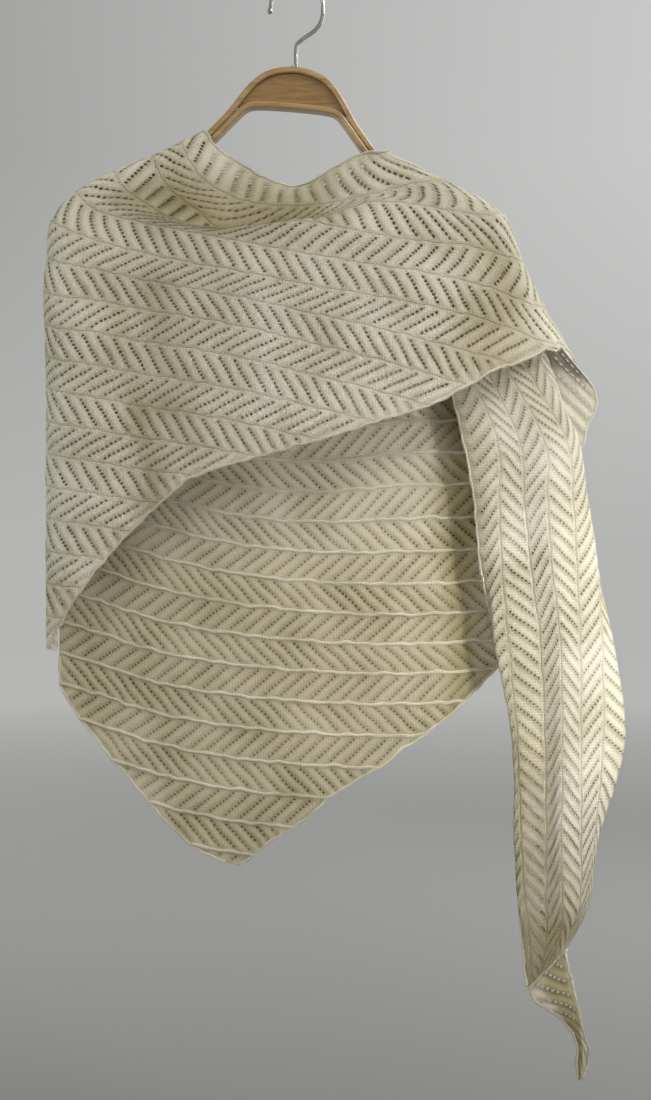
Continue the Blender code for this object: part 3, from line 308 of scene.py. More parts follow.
TIP_ROWS = (
    ((225.2, -11.3, -891.9), (236.4, -13.5, -891.3), (248.2, -11.3, -891.9)),
    ((221.6, -11.2, -904.4), (234.1, -13.4, -900.5), (247.3, -11.2, -897.9)),
    ((215.3, -10.2, -921.2), (232.4, -12.4, -916), (250.2, -10.2, -912)),
    ((217.1, -10, -937.8), (235.2, -12.2, -931.2), (253.9, -10, -925.8)),
    ((229.9, -10.5, -947.7), (242.9, -12.7, -942), (256.6, -10.5, -937.6)),
    ((241.9, -10.5, -956), (250.3, -12.7, -953.5), (259.4, -10.5, -952.3)),
    ((252.9, -10.5, -969.8), (257.8, -12.7, -969.1), (263.5, -10.5, -969.8)),
    ((257.5, -10.5, -984.5), (262.4, -12.7, -983.3), (268.1, -10.5, -983.6)),
    ((257.1, -10.5, -998.3), (261.5, -12.7, -997.5), (266.7, -10.5, -998.3)),
    ((258.4, -10.5, -1013), (260.1, -12.7, -1011.8), (262.6, -10.5, -1012.1)),
)

# Near its top the tail's seams stand further to the right than its even widths put them:
# seams, and how far, all there LEAN_FADE stations before LEAN_END and gone from there
TAIL_LEAN = ((0, 1, 2, 3, 4, 5, TURN), (0, 0.55, 0.75, 1.15, 1.2, 0.6, 0))
LEAN_END = 6.2
LEAN_FADE = 1.4


def weights(knots, at):
    """One row of weights per place in at, for a smooth curve through values at the knots."""
    knots = np.asarray(knots, float)
    at = np.clip(np.asarray(at, float), knots[0], knots[-1])
    count = len(knots)
    values = np.eye(count)
    step = np.diff(knots)
    slope = np.diff(values, axis=0) / step[:, None]
    tangent = np.empty_like(values)
    tangent[0] = slope[0]
    tangent[-1] = slope[-1]
    before = step[:-1, None]
    after = step[1:, None]
    tangent[1:-1] = (slope[:-1] * after + slope[1:] * before) / (before + after)
    cell = np.clip(np.searchsorted(knots, at, side="right") - 1, 0, count - 2)
    width = step[cell]
    f = ((at - knots[cell]) / width)[:, None]
    rise = width[:, None]
    return (
        values[cell] * (2 * f**3 - 3 * f**2 + 1)
        + values[cell + 1] * (3 * f**2 - 2 * f**3)
        + tangent[cell] * rise * (f**3 - 2 * f**2 + f)
        + tangent[cell + 1] * rise * (f**3 - f**2)
    )


def climb(x, start, length):
    """0 up to start and 1 from start + length on; a negative length climbs the other way."""
    return np.clip((x - start) / length, 0, 1)


def bell(x, centre, width):
    """1 at the centre, fading to both sides."""
    return np.exp(-(((x - centre) / width) ** 2))


class Sheet:
    """A smooth surface over a table of rows: station u along a column, seam k across."""

    def __init__(self, rows, seams, face=1, lean=None):
        self.net = np.asarray(rows, float)
        self.seams = seams
        self.last = len(rows) - 1
        self.face = face      # 1 where the normals below look out of the side with the ribs
        self.lean = lean

    def at(self, u, k):
        u, k = np.broadcast_arrays(np.asarray(u, float), np.asarray(k, float))
        hold = np.clip(u, 0, 1) * np.clip(k, 0, 1)
        k = k + hold * sum(size * np.sin(by_u * u + by_k * k) for size, by_u, by_k in DRIFT)
        if self.lean:
            k = k + np.interp(k, *self.lean) * climb(u, LEAN_END, -LEAN_FADE)
        along = weights(np.arange(self.last + 1), u.ravel())
        across = weights(self.seams, k.ravel())
        return np.einsum("ni,nj,ijc->nc", along, across, self.net).reshape(u.shape + (3,))

    def normal(self, u, k):
        step = 0.02
        down = self.at(u, np.asarray(k) + step) - self.at(u, np.asarray(k) - step)
        along = self.at(np.asarray(u) + step, k) - self.at(np.asarray(u) - step, k)
        out = np.cross(down, along) * self.face
        return out / np.maximum(np.linalg.norm(out, axis=-1, keepdims=True), 1e-9)

    def length(self, k):
        """Stations and the distance along the seam k to each, from station 0."""
        u = np.linspace(0, self.last, 40 * self.last + 1)
        points = self.at(u, k)
        s = np.concatenate([[0], np.cumsum(np.linalg.norm(np.diff(points, axis=0), axis=1))])
        return u, s


class Build:
    """Gathers vertices, faces, their pattern coordinates, tone and painted shade for one mesh."""

    def __init__(self):
        self.points = []
        self.faces = []
        self.uv = []
        self.rise = []
        self.painted_shade_level = []
        self.count = 0

    def add(self, points, uv, rise, painted_shade_level=0.0):
        first = self.count
        points = np.asarray(points).reshape(-1, 3)
        self.points.append(points)
        self.uv.append(np.asarray(uv, float).reshape(-1, 2))
        for kept, value in ((self.rise, rise), (self.painted_shade_level, painted_shade_level)):
            kept.append(np.broadcast_to(np.asarray(value, float).ravel(), (len(points),)))
        self.count += len(points)
        return first

    def make(self, name, material):
        data = bpy.data.meshes.new(name)
        points = np.concatenate(self.points) * MM
        data.from_pydata(points.tolist(), [], self.faces)
        data.materials.append(material)
        uv = np.concatenate(self.uv)
        layer = data.uv_layers.new(name="stitches")
        loops = np.empty(len(data.loops), dtype=np.int32)
        data.loops.foreach_get("vertex_index", loops)
        layer.data.foreach_set("uv", uv[loops].astype(np.float32).ravel())
        for kind, values in (("rise", self.rise), ("painted_shade_level", self.painted_shade_level)):
            layer = data.attributes.new(kind, "FLOAT", "POINT")
            layer.data.foreach_set("value", np.concatenate(values).astype(np.float32))
        data.polygons.foreach_set("use_smooth", np.ones(len(data.polygons), dtype=bool))
        data.update()
        made = bpy.data.objects.new(name, data)
        bpy.context.scene.collection.objects.link(made)
        return made


def uneven(points):
    """Small unevenness of the knitting, in millimetres along its normal."""
    x, z = points[..., 0], points[..., 2]
    return (
        0.35 * np.sin(x / 9.0 + 1.7 * np.sin(z / 31.0)) * np.sin(z / 7.0 + 1.3 * np.sin(x / 23.0))
        + 0.30 * np.sin(x / 17.0 + z / 13.0)
    )


def cell_edges(width, low_margin, high_margin):
    """Places across a column, in millimetres from its low seam, and the count of lace cells."""
    cells = max(1, round((width - low_margin - high_margin) / (COLUMN - 2 * MARGIN) * CELLS))
    inner = np.linspace(low_margin, width - high_margin, cells + 1)
    low = min(GROOVE[0], low_margin / 2)
    high = width - min(GROOVE[0], high_margin / 2)
    return np.concatenate([[0.0, low], inner, [high, width]]), cells


def corners(grid, cells):
    """The values of a grid at the four corners of each cell, in turn round it."""
    j, i = cells
    return [grid[j, i], grid[j, i + 1], grid[j + 1, i + 1], grid[j + 1, i]]


def eyelets(build, cells, points, uv, out, index, painted_shade_levels, kind, cup):
    """Puts an eyelet in each of the cells: a closed cup painted dark with shade where cup says so,
    else a hole with its rim painted darker inward.
    """
    corner_points = corners(points, cells)
    corner_maps = corners(uv, cells)
    corner_ids = corners(index, cells)
    inward = -sum(corners(out, cells)) / 4 * HOLE_DEEP
    ring_points = []
    ring_maps = []
    for n in range(RING):
        angle = math.radians(360 / RING * (n + 4.5))
        a = 0.5 + HOLE_WIDE[kind] * math.cos(angle) * RING_OUT
        b = 0.5 + HOLE_LONG[kind] * math.sin(angle) * RING_OUT
        share = ((1 - a) * (1 - b), a * (1 - b), a * b, (1 - a) * b)
        ring_points.append(sum(w * p for w, p in zip(share, corner_points)))
        ring_maps.append(sum(w * m for w, m in zip(share, corner_maps)))
    inner = np.stack(ring_points, axis=1)
    ring_map = np.stack(ring_maps, axis=1)
    base = build.add(inner, ring_map, RIM_PAINTED_SHADE, np.repeat(painted_shade_levels, RING))
    hole = ~cup
    if hole.any():
        rim = (inner + inward[:, None, :])[hole]
        deep = build.add(rim, ring_map[hole], HOLE_PAINTED_SHADE, np.repeat(painted_shade_levels[hole], RING))
    if cup.any():
        bottom = (inner.mean(axis=1) + inward * CUP_DEEP)[cup]
        middle = build.add(bottom, ring_map.mean(axis=1)[cup], CUP_PAINTED_SHADE, painted_shade_levels[cup])
    order = np.where(cup, np.cumsum(cup), np.cumsum(hole)) - 1
    faces = build.faces
    for n in range(len(cup)):
        c = [int(ids[n]) for ids in corner_ids]
        r = [base + RING * n + m for m in range(RING)]
        for m in range(4):
            faces.append([c[m], r[2 * m], r[2 * m - 1]])
            faces.append([c[m], c[(m + 1) % 4], r[2 * m + 1], r[2 * m]])
        if cup[n]:
            faces.extend([r[m - 1], r[m], middle + int(order[n])] for m in range(RING))
        else:
            d = [deep + RING * int(order[n]) + m for m in range(RING)]
            faces.extend([r[m - 1], r[m], d[m], d[m - 1]] for m in range(RING))


def lace_column(build, sheet, k_low, k_high, sign, slants, start, end, keep=WHOLE,
                low_margin=MARGIN, high_margin=MARGIN, hems=(False, True), phase=0, closed=0,
                grooved=True, shade=None, rib=RIB, bare=NO_BARE):
    """Adds one column of slanting eyelet lines between two seams of a sheet.

    Eyelets before the station closed are closed cups painted dark with shade, the others go
    through. There are none from the station bare on. The seams are grooves on the right side of the
    knitting, painted dark. A shade function, where given, paints shade over the column.
    """
    kind = int(k_low) % 2
    slant = slants[kind]
    across, cells = cell_edges((k_high - k_low) * COLUMN, low_margin, high_margin)
    k = k_low + across / COLUMN

    # Rows of cells by their distance s along the column, moved on from cell to cell by the slant
    u_line, s_line = sheet.length((k_low + k_high) / 2)
    step = np.clip(np.arange(len(across)) - 2.0, 0, cells)
    shift = sign * (slant - 1.0) * CELL_LONG * step
    s_start = np.interp(start(k), u_line, s_line)
    s_end = np.interp(end(k), u_line, s_line)
    first = math.floor((s_start - shift).min() / CELL_LONG)
    last = math.ceil((s_end - shift).max() / CELL_LONG)
    rows = np.arange(first, last + 1)
    s = rows[:, None] * CELL_LONG + shift[None, :]
    low = s <= s_start[None, :]
    high = s >= s_end[None, :]
    s = np.clip(s, s_start[None, :], s_end[None, :])
    u = np.interp(s, s_line, u_line)
    kk = np.broadcast_to(k[None, :], u.shape)

    # The knitting swells between two eyelet lines, less so beside a seam. The same rise is painted
    # as tone: a painted highlight on the swells, painted shade between them
    place = (rows[:, None] - sign * step[None, :] - phase - 0.5) / REPEAT
    rise = 0.5 - 0.5 * np.cos(2 * np.pi * place)
    beside = np.minimum(across, across[-1] - across)[None, :]
    rise = PLAIN_RISE + (rise - PLAIN_RISE) * np.clip(beside / (1.5 * MARGIN), 0.0, 1.0)
    out = sheet.normal(u, kk)
    points = sheet.at(u, kk)
    lift = rib * (rise - LEVEL_RISE) + uneven(points)
    # A seam's groove also gets a dark tone: painted shade
    if grooved:
        for seam in (0, -1):
            lift[:, seam] -= GROOVE[1]
            rise[:, seam] = SEAM_PAINTED_SHADE
    points = points + out * lift[:, :, None]
    wale = (across - across[2]) / (across[-3] - across[2]) * cells + STITCH_SHIFT * k_low
    uv = np.stack(np.broadcast_arrays(wale[None, :], s / CELL_LONG), axis=-1)
    # Painted shade of folds and cast shadows, 0 to 1, from the shade function
    painted_shade_level = np.zeros(u.shape) if shade is None else shade(u, kk)
    base = build.add(points, uv, rise, painted_shade_level)
    wide = len(across)
    index = base + np.arange(len(rows))[:, None] * wide + np.arange(wide)[None, :]

    # Past an end of the sheet all rows use the vertex that lies on it
    for i in range(wide):
        tops = np.nonzero(low[:, i])[0]
        ends = np.nonzero(high[:, i])[0]
        if len(tops):
            index[tops, i] = index[tops[-1], i]
        if len(ends):
            index[ends, i] = index[ends[0], i]

    # Cells to keep, and those of them with an eyelet
    centre_u = (u[:-1, :-1] + u[1:, 1:] + u[1:, :-1] + u[:-1, 1:]) / 4
    kept = (centre_u >= keep[0]) & (centre_u < keep[1])
    edge_low = low[:-1, :-1] | low[1:, :-1] | low[:-1, 1:] | low[1:, 1:]
    edge_high = high[:-1, :-1] | high[1:, :-1] | high[:-1, 1:] | high[1:, 1:]
    centre_s = (s[:-1, :-1] + s[1:, 1:]) / 2
    plain = edge_low | edge_high | (centre_u > bare)
    if hems[0]:
        plain |= centre_s - np.maximum(s_start[:-1], s_start[1:])[None, :] < BORDER
    if hems[1]:
        plain |= np.minimum(s_end[:-1], s_end[1:])[None, :] - centre_s < BORDER
    column = np.arange(wide - 1)[None, :] - 2
    on_line = (rows[:-1, None] - sign * column - phase) % REPEAT == 0
    holed = on_line & (column >= 0) & (column < cells) & kept & ~plain

    for j, i in zip(*np.nonzero(kept & ~holed)):
        ring = corners(index, (j, i))
        ring = [v for n, v in enumerate(ring) if v != ring[n - 1]]
        if len(set(ring)) == len(ring) > 2:
            build.faces.append([int(v) for v in ring])
    if holed.any():
        cup = centre_u[holed] < closed
        painted_shade_levels = painted_shade_level[:-1, :-1][holed]
        eyelets(build, np.nonzero(holed), points, uv, out, index, painted_shade_levels, kind, cup)


def tube(build, line, across, radius, flat):
    """Adds a round or flattened tube along a line; across gives its wide direction."""
    size = np.linalg.norm(np.diff(line, axis=0), axis=1)
    s = np.concatenate([[0], np.cumsum(size)])
    at = np.linspace(0, s[-1], max(3, int(s[-1] / TUBE_PITCH)))
    points = np.stack([np.interp(at, s, line[:, n]) for n in range(3)], axis=1)
    wide = np.stack([np.interp(at, s, across[:, n]) for n in range(3)], axis=1)
    run = np.gradient(points, axis=0)
    run /= np.linalg.norm(run, axis=1, keepdims=True)
    wide -= run * np.sum(wide * run, axis=1, keepdims=True)
    wide /= np.maximum(np.linalg.norm(wide, axis=1, keepdims=True), 1e-9)
    deep = np.cross(run, wide)

    # The yarn swells and wanders a little, and is thin at its ends
    swell = radius * (1 + 0.18 * np.sin(2 * np.pi * at / 2.9) + 0.14 * np.sin(at / 4.7))
    points = points + wide * (0.3 * np.sin(at / 2.7) + 0.3 * np.sin(at / 6.1))[:, None]
    swell[[0, -1]] *= 0.4

    rings = []
    maps = []
    for n in range(TUBE_SIDES):
        angle = 2 * math.pi * n / TUBE_SIDES
        ring = points + (wide * math.cos(angle) + deep * math.sin(angle) * flat) * swell[:, None]
        rings.append(ring)
        maps.append(np.stack([np.full(len(at), n / TUBE_SIDES * 2), at / CELL_LONG], axis=1))
    base = build.add(np.stack(rings, axis=1), np.stack(maps, axis=1), TUBE_RISE)
    last = base + (len(at) - 1) * TUBE_SIDES
    for a in range(base, last, TUBE_SIDES):
        b = a + TUBE_SIDES
        for n in range(TUBE_SIDES):
            m = (n + 1) % TUBE_SIDES
            build.faces.append([a + n, a + m, b + m, b + n])
    build.faces.append([base + n for n in range(TUBE_SIDES)][::-1])
    build.faces.append([last + n for n in range(TUBE_SIDES)])


def edge_tube(build, sheet, u, k, radius=1.15, flat=0.8, lift=0.0):
    """The rolled edge of the knitting along places u, k of a sheet."""
    u, k = np.broadcast_arrays(np.asarray(u, float), np.asarray(k, float))
    line = sheet.at(u, k)
    normal = sheet.normal(u, k)
    tube(build, line + normal * lift, np.cross(normal, np.gradient(line, axis=0)), radius, flat)


def steady(value):
    """A function of the seam that is the same everywhere."""
    return lambda k: np.full(np.shape(k), float(value))


def pairs(table):
    """A function of the seam from a table of seam and station."""
    seams = [k for k, _ in table]
    stations = [u for _, u in table]
    return lambda k: np.interp(np.asarray(k, float), seams, stations)


def wrap_end(k):
    """Station where the wrap's slanted hem crosses each seam."""
    return np.interp(-np.asarray(k, float), -np.asarray(HEM, float), np.arange(len(HEM)))


def hem_at(u):
    """Seam where the wrap's slanted hem lies at each station."""
    return np.interp(u, np.arange(len(HEM)), HEM)


def slant_way(k):
    """The way that the eyelet lines of a column of the wrap slant: 1 in even columns, else -1."""
    return 1 if k % 2 == 0 else -1


def painted_fold_shade(u, k):
    """Painted shade: how much of the light the folds keep out at places u, k of the wrap, 0 to 1.
    """
    painted_shade_level = np.zeros(np.shape(u))
    for u_low, k_low, u_high, k_high, wide, depth in PAINTED_FOLD_SHADES:
        run_u, run_k = (u_high - u_low) * STATION_LONG, k_high - k_low
        to_u, to_k = (u - u_low) * STATION_LONG, k - k_low
        share = np.clip((to_u * run_u + to_k * run_k) / (run_u**2 + run_k**2), 0, 1)
        off = np.hypot(to_u - share * run_u, to_k - share * run_k)
        painted_shade_level = np.maximum(painted_shade_level, depth * bell(off, 0, wide))
    return painted_shade_level


def back_shade(u, k):
    """The back panel's lower reach lies in the shade of the wrap, its right side in the tail's."""
    low = 0.6 * climb(k, 6, 9)
    beside = 0.95 * bell(u, 5.75, 0.42) * climb(k, 3, 3)
    return np.maximum(low, beside)


def tail_painted_shade(u, k):
    """Painted shade along soft folds down the tail, and painted shade at its end."""
    left = 0.35 * bell(k, 0.1, 0.7)
    right = 0.25 * bell(k, 4.2, 0.45) * climb(u, 9, -3)
    low = 0.6 * bell(k, 1.4, 1.1) * climb(u, 8.5, 3)
    end = 0.85 * climb(u, 11.5, 2.5) * (1 - 0.6 * climb(k, 3.3, 1))
    return np.maximum(left + right + low, end)


def tip_shade(u, k):
    """Painted shade: the tip turns its shaded side to the front, but for its left corner and its
    lower end.
    """
    low = np.interp(u, (0, 4, 6), (0.2, 0.2, -0.2))
    high = np.interp(u, (0, 5.5, 7, 9), (1.0, 0.98, 0.5, 0.6))
    return 0.95 * climb(k, low, 0.2) * climb(k, high, -0.1)


def add_node(tree, kind, inputs=None, **options):
    """Adds a shader node. Each of the inputs gets a value, or a link from another's output."""
    node = tree.nodes.new(kind)
    for name, value in options.items():
        setattr(node, name, value)
    for name, value in (inputs or {}).items():
        if isinstance(value, bpy.types.NodeSocket):
            tree.links.new(value, node.inputs[name])
        else:
            node.inputs[name].default_value = value
    return node


def ramp(tree, factor, stops):
    """Colour by factor, from stops of place and colour."""
    node = add_node(tree, "ShaderNodeValToRGB", {"Fac": factor})
    elements = node.color_ramp.elements
    for element, (place, colour) in zip(elements, (stops[0], stops[-1])):
        element.position = place
        element.color = (*colour, 1)
    for place, colour in stops[1:-1]:
        elements.new(place).color = (*colour, 1)
    return node.outputs["Color"]


def new_material(name, values):
    """A material, its nodes and its main shader with these values."""
    made = bpy.data.materials.new(name)
    made.use_nodes = True
    shader = made.node_tree.nodes["Principled BSDF"]
    for key, value in values.items():
        shader.inputs[key].default_value = value
    return made, made.node_tree, shader


def knit_material(name, colour, shade, hole):
    """Cotton knit: rows of small stitches in the pattern's own coordinates, fuzz, soft patches, and
    painted shade and highlight: the tone follows the rise and the stitches, and the painted shade
    level darkens it.
    """
    made, tree, shader = new_material(name, {
        "Roughness": 0.9, "Sheen Weight": 0.12, "Sheen Roughness": 0.5, "Specular IOR Level": 0.15,
    })

    def do(operation, *values):
        inputs = dict(enumerate(values))
        return add_node(tree, "ShaderNodeMath", inputs, operation=operation).outputs[0]

    uv = add_node(tree, "ShaderNodeUVMap", uv_map="stitches").outputs["UV"]
    split = add_node(tree, "ShaderNodeSeparateXYZ", {0: uv})
    wale = do("FRACT", do("MULTIPLY", split.outputs["X"], 2.0))
    off = do("ABSOLUTE", do("SUBTRACT", wale, 0.5))
    course = do("ADD", do("MULTIPLY", split.outputs["Y"], 2.0), off)
    wave = do("SINE", do("MULTIPLY", course, 2 * math.pi))
    groove = do("SUBTRACT", 1.0, do("POWER", do("MULTIPLY", off, 2.0), 4.0))
    stitch = do("MULTIPLY", do("ADD", do("MULTIPLY", wave, 0.5), 0.5), groove)

    where = add_node(tree, "ShaderNodeTexCoord").outputs["Object"]
    fuzz, patch = (
        add_node(tree, "ShaderNodeTexNoise", {
            "Vector": where, "Scale": scale, "Detail": detail,
        }).outputs["Fac"]
        for scale, detail in ((900, 3), (22, 5))
    )
    bump = add_node(tree, "ShaderNodeBump", {
        "Strength": 0.8, "Distance": 0.0007, "Height": do("ADD", stitch, do("MULTIPLY", fuzz, 0.9)),
    })
    tree.links.new(bump.outputs["Normal"], shader.inputs["Normal"])

    # Tone from the rise and the stitches: painted shade in seams, eyelets and between stitches, a
    # painted highlight on swells and stitch tops
    rise = add_node(tree, "ShaderNodeAttribute", attribute_name="rise").outputs["Fac"]
    tone = do("ADD", do("MULTIPLY", rise, 0.38), 0.14)
    tone = do("ADD", tone, do("MULTIPLY", stitch, 0.22))
    for cloud, mean in ((fuzz, 0.35), (patch, 0.5)):
        tone = do("ADD", tone, do("MULTIPLY", do("SUBTRACT", cloud, mean), 0.7))
    wool_with_painted_shade = ramp(tree, tone, ((0.0, hole), (0.22, shade), (0.75, colour)))
    # Painted shade of folds and cast shadows: the mesh's shade level multiplies in the warm tint
    painted_shade_level = add_node(tree, "ShaderNodeAttribute", attribute_name="painted_shade_level").outputs["Fac"]
    painted_shade_mix = add_node(
        tree, "ShaderNodeMix", {0: painted_shade_level, 6: wool_with_painted_shade, 7: (*PAINTED_SHADE_TINT, 1)}, data_type="RGBA",
        blend_type="MULTIPLY",
    )
    tree.links.new(painted_shade_mix.outputs[2], shader.inputs["Base Color"])
    through = add_node(tree, "ShaderNodeBsdfTranslucent", {"Color": painted_shade_mix.outputs[2]})
    blend = add_node(tree, "ShaderNodeMixShader", {
        0: 0.13, 1: shader.outputs[0], 2: through.outputs[0],
    })
    tree.links.new(blend.outputs[0], tree.nodes["Material Output"].inputs["Surface"])
    return made


def wood_material(name, light, dark, along):
    """Lacquered wood: long grain streaks and fine pores."""
    made, tree, shader = new_material(name, {
        "Roughness": 0.34, "Coat Weight": 0.35, "Coat Roughness": 0.18,
    })
    where = add_node(tree, "ShaderNodeTexCoord").outputs["Object"]
    scaled = add_node(tree, "ShaderNodeMapping", {"Vector": where, "Scale": along}).outputs[0]
    grain = add_node(tree, "ShaderNodeTexNoise", {
        "Vector": scaled, "Scale": 1.0, "Detail": 6, "Distortion": 0.6,
    })
    pores = add_node(tree, "ShaderNodeTexNoise", {"Vector": scaled, "Scale": 6.0, "Detail": 3})
    tint = ramp(tree, grain.outputs["Fac"], ((0.32, dark), (0.68, light)))
    tree.links.new(tint, shader.inputs["Base Color"])
    bump = add_node(tree, "ShaderNodeBump", {
        "Strength": 0.15, "Distance": 0.0003, "Height": pores.outputs["Fac"],
    })
    tree.links.new(bump.outputs["Normal"], shader.inputs["Normal"])
    return made


def chrome_material(name):
    """Chrome with faint smears."""
    made, tree, shader = new_material(name, {"Metallic": 1.0})
    where = add_node(tree, "ShaderNodeTexCoord").outputs["Object"]
    smear = add_node(tree, "ShaderNodeTexNoise", {
        "Vector": where, "Scale": 90, "Detail": 5,
    }).outputs["Fac"]
    gloss = add_node(tree, "ShaderNodeMapRange", {"Value": smear, "To Min": 0.10, "To Max": 0.26})
    tree.links.new(gloss.outputs["Result"], shader.inputs["Roughness"])
    tint = ramp(tree, smear, ((0.0, (0.30, 0.29, 0.27)), (1.0, (0.62, 0.61, 0.59))))
    tree.links.new(tint, shader.inputs["Base Color"])
    return made


def dress(node, material):
    """Gives a CAD node its material, and smooth shading where its faces meet gently."""
    piece = NODES[node]
    if not piece.material_slots:
        piece.data.materials.append(material)
    for place in piece.material_slots:
        place.material = material
    piece.data.shade_smooth()
    piece.data.set_sharp_from_angle(angle=math.radians(35))


def area_light(name, place, aim, size, power, colour, spread):
    """A square light at a place, turned to its aim."""
    data = bpy.data.lights.new(name, "AREA")
    data.size = size
    data.energy = power
    data.color = colour
    data.spread = math.radians(spread)
    light = bpy.data.objects.new(name, data)
    light.location = place
    way = np.array(aim, float) - np.array(place, float)
    side = math.hypot(way[0], way[1])
    light.rotation_euler = (math.atan2(side, -way[2]), 0, math.atan2(-way[0], way[1]))
    bpy.context.scene.collection.objects.link(light)


camera_data = bpy.data.cameras.new("camera")
camera_data.sensor_width = 36
camera_data.sensor_fit = "AUTO"
camera_data.lens = CAMERA_LENS
camera_data.clip_start = 0.01
camera = bpy.data.objects.new("camera", camera_data)
camera.location = CAMERA_AT
camera.rotation_euler = (math.radians(90), 0, 0)
bpy.context.scene.collection.objects.link(camera)
bpy.context.scene.camera = camera

wrap = Sheet(WRAP_ROWS, WRAP_SEAMS)
back = Sheet(BACK_ROWS, BACK_SEAMS)
tail = Sheet(TAIL_ROWS, TAIL_SEAMS, face=-1, lean=TAIL_LEAN)
rear = Sheet(REAR_ROWS, REAR_SEAMS, face=-1)
tip = Sheet(TIP_ROWS, TIP_SEAMS)
back_left = pairs(BACK_LEFT)
back_right = pairs(BACK_RIGHT)

wool = knit_material("wool", WOOL, WOOL_SHADE, WOOL_HOLE_SHADE)
made = {}

# Neck fold, front wrap and end flap: one continuous surface cut at the right shoulder
for name, columns, keep in (
    ("neck_lace", range(0, 3), (WHOLE[0], FLAP_AT)),
    ("front_lace", range(3, 18), (WHOLE[0], FLAP_AT)),
    ("flap_lace", range(0, 6), (FLAP_AT, WHOLE[1])),
):
    part = Build()
    for k in columns:
        lace_column(
            part, wrap, k, k + 1, slant_way(k), SLANT_WRAP, steady(0), wrap_end, keep,
            low_margin=MARGIN if k else BORDER, phase=k * 2 % REPEAT, shade=painted_fold_shade,
        )
    made[name] = part.make(name, wool)

part = Build()
for k in range(0, 24):
    lace_column(
        part, back, k, min(k + 1, BACK_TIP), slant_way(k), SLANT_BACK, back_left, back_right,
        low_margin=MARGIN if k else BORDER, phase=k * 3 % REPEAT,
        hems=(k + 1 > BACK_LEFT[0][0], k + 1 > BACK_RIGHT[0][0]),
        closed=ALL_CLOSED, grooved=False, shade=back_shade,
    )
made["back_lace"] = part.make("back_lace", wool)

part = Build()
for k in range(0, 6):
    lace_column(
        part, tail, k, min(k + 1, TURN), -slant_way(k), SLANT_TAIL, steady(0), steady(tail.last),
        low_margin=MARGIN if k else BORDER, high_margin=0.4 if k == 5 else MARGIN,
        phase=k * 2 % REPEAT, closed=TAIL_OPEN, shade=tail_painted_shade, rib=0.6,
    )
made["tail_lace"] = part.make("tail_lace", wool)

part = Build()
for low, high, sign in ((TURN, 7, 1), (7, 8, -1), (8, 9, 1)):
    lace_column(part, rear, low, high, sign, SLANT_TAIL, steady(0), steady(rear.last))
made["tail_rear_lace"] = part.make("tail_rear_lace", wool)

part = Build()
lace_column(
    part, tip, 0, 1, 1, SLANT_TAIL, steady(0), steady(tip.last), low_margin=4, high_margin=4,
    shade=tip_shade, rib=0.1, bare=TIP_BARE,
)
made["tip_lace"] = part.make("tip_lace", wool)

# Cords along the seams on the wrong side of the back
part = Build()
for k in range(1, 24):
    low, high = float(back_left(k)), float(back_right(k))
    edge_tube(part, back, np.linspace(low, high, 120), k, radius=1.45, flat=0.9, lift=0.5)
made["back_cords"] = part.make("back_cords", wool)

# Rolled edges
part = Build()
edge_tube(part, back, np.linspace(0, back.last, 200), 0)
for edge, table in ((back_left, BACK_LEFT), (back_right, BACK_RIGHT)):
    ks = np.linspace(table[0][0], table[-1][0], 90)
    edge_tube(part, back, edge(ks), ks)
made["back_edges"] = part.make("back_edges", wool)

part = Build()
us = np.linspace(0, FLAP_AT, 500)
us = us[hem_at(us) < WRAP_SEAMS[-1]]
edge_tube(part, wrap, us, hem_at(us))
made["front_edges"] = part.make("front_edges", wool)

part = Build()
edge_tube(part, wrap, np.linspace(0, FLAP_AT, 400), 0)
made["neck_edges"] = part.make("neck_edges", wool)

part = Build()
us = np.linspace(FLAP_AT, wrap.last, 300)
edge_tube(part, wrap, us, hem_at(us))
edge_tube(part, wrap, us, 0)
made["flap_edges"] = part.make("flap_edges", wool)

part = Build()
edge_tube(part, tail, np.linspace(0, tail.last, 400), 0)
edge_tube(part, tail, tail.last, np.linspace(0, TAIL_SEAMS[-1], 60), radius=0.7)
made["tail_edges"] = part.make("tail_edges", wool)

part = Build()
edge_tube(part, rear, np.linspace(0, rear.last, 300), REAR_SEAMS[-1])
edge_tube(part, rear, rear.last, np.linspace(TURN, REAR_SEAMS[-1], 30))
made["tail_rear_edges"] = part.make("tail_rear_edges", wool)

part = Build()
for k in (0, 1):
    edge_tube(part, tip, np.linspace(0, tip.last, 120), k, radius=1.3)
made["tip_edges"] = part.make("tip_edges", wool)

for piece, node, edges in (
    ("neck_lace", "neck_fold", ["neck_edges"]),
    ("front_lace", "front_wrap", ["front_edges"]),
    ("flap_lace", "end_flap", ["flap_edges"]),
    ("back_lace", "back_panel", ["back_cords", "back_edges"]),
    ("tail_lace", "tail_front", ["tail_edges"]),
    ("tail_rear_lace", "tail_rear", ["tail_rear_edges"]),
    ("tip_lace", "tail_tip", ["tip_edges"]),
):
    for name in [piece] + edges:
        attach(made[name], "root")
        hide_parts(node)

# Hanger
bent = wood_material("bent_wood", (0.46, 0.315, 0.135), (0.27, 0.16, 0.05), (18, 60, 160))
board = wood_material("panel_wood", (0.33, 0.195, 0.065), (0.22, 0.12, 0.036), (30, 60, 260))
chrome = chrome_material("chrome")
dress("outer_strip", bent)
dress("inner_strip", bent)
dress("panel", board)
dress("hook", chrome)
dress("hook_collar", chrome)
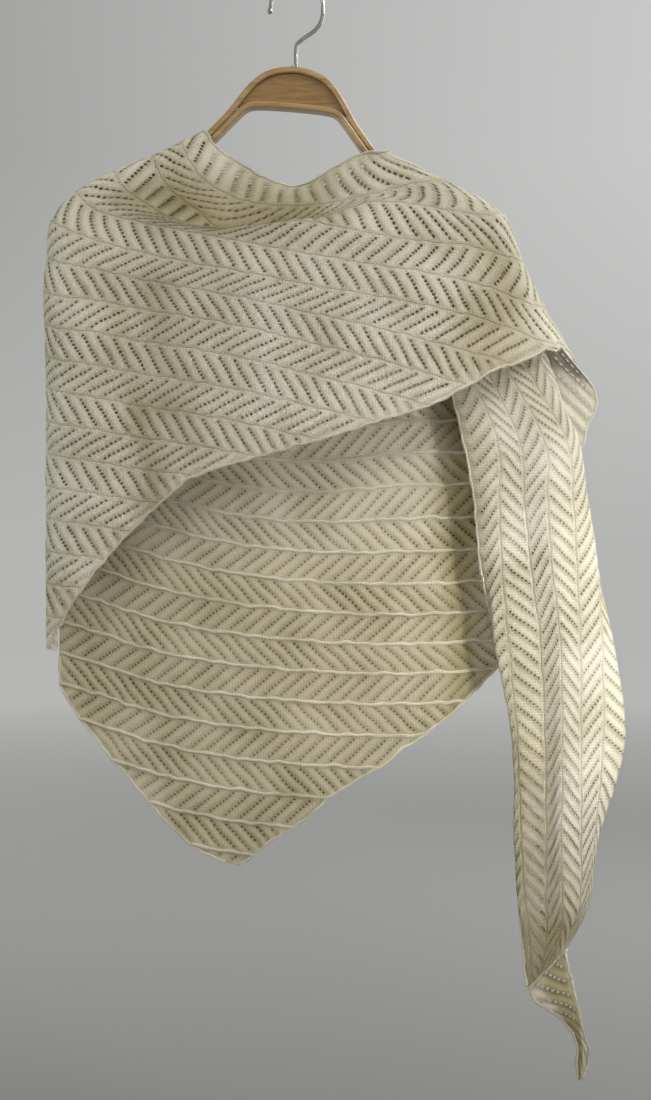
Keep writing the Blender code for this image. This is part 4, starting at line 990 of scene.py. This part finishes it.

# Pale floor, greyer under the object: painted shade there
floor_data = bpy.data.meshes.new("floor")
turns = ((-1, -1), (1, -1), (1, 1), (-1, 1))
plane = [(x * FLOOR_HALF, y * FLOOR_HALF, 0) for x, y in turns]
floor_data.from_pydata(plane, [], [(0, 1, 2, 3)])
floor = bpy.data.objects.new("floor", floor_data)
floor.location = (0, 0, FLOOR_Z)
bpy.context.scene.collection.objects.link(floor)
pale, tree, shader = new_material("floor", {"Roughness": 1.0, "Specular IOR Level": 0.0})
place = add_node(tree, "ShaderNodeTexCoord").outputs["Object"]
reach = add_node(tree, "ShaderNodeVectorMath", {0: place}, operation="LENGTH").outputs["Value"]
fade = add_node(tree, "ShaderNodeMapRange", {
    "Value": reach, "From Min": FLOOR_FADE[0], "From Max": FLOOR_FADE[1],
})
tint = ramp(tree, fade.outputs["Result"], ((0.0, FLOOR_TONES[0]), (1.0, FLOOR_TONES[1])))
tree.links.new(tint, shader.inputs["Base Color"])
floor_data.materials.append(pale)
floor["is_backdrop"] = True

# Pale surround, lighter to the right
world = bpy.data.worlds.new("surround")
world.use_nodes = True
tree = world.node_tree
ray = add_node(tree, "ShaderNodeTexCoord").outputs["Generated"]
way = add_node(tree, "ShaderNodeSeparateXYZ", {0: ray})
drift = add_node(tree, "ShaderNodeMapRange", {
    "Value": way.outputs["X"], "From Min": -SKY_TURN, "From Max": SKY_TURN,
})
lift = add_node(tree, "ShaderNodeMapRange", {"Value": way.outputs["Z"], "From Max": SKY_LIFT})
level = add_node(tree, "ShaderNodeMix", {
    0: lift.outputs["Result"], 2: SKY_LEVEL, 3: drift.outputs["Result"],
})
glow = ramp(tree, level.outputs[0], ((0.0, SKY_TONES[0]), (1.0, SKY_TONES[1])))
tree.links.new(glow, tree.nodes["Background"].inputs["Color"])
tree.nodes["Background"].inputs["Strength"].default_value = 1.0
bpy.context.scene.world = world
bpy.context.scene.view_settings.view_transform = "Standard"

for name, values in LIGHTS.items():
    area_light(name, *values)

low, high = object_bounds()
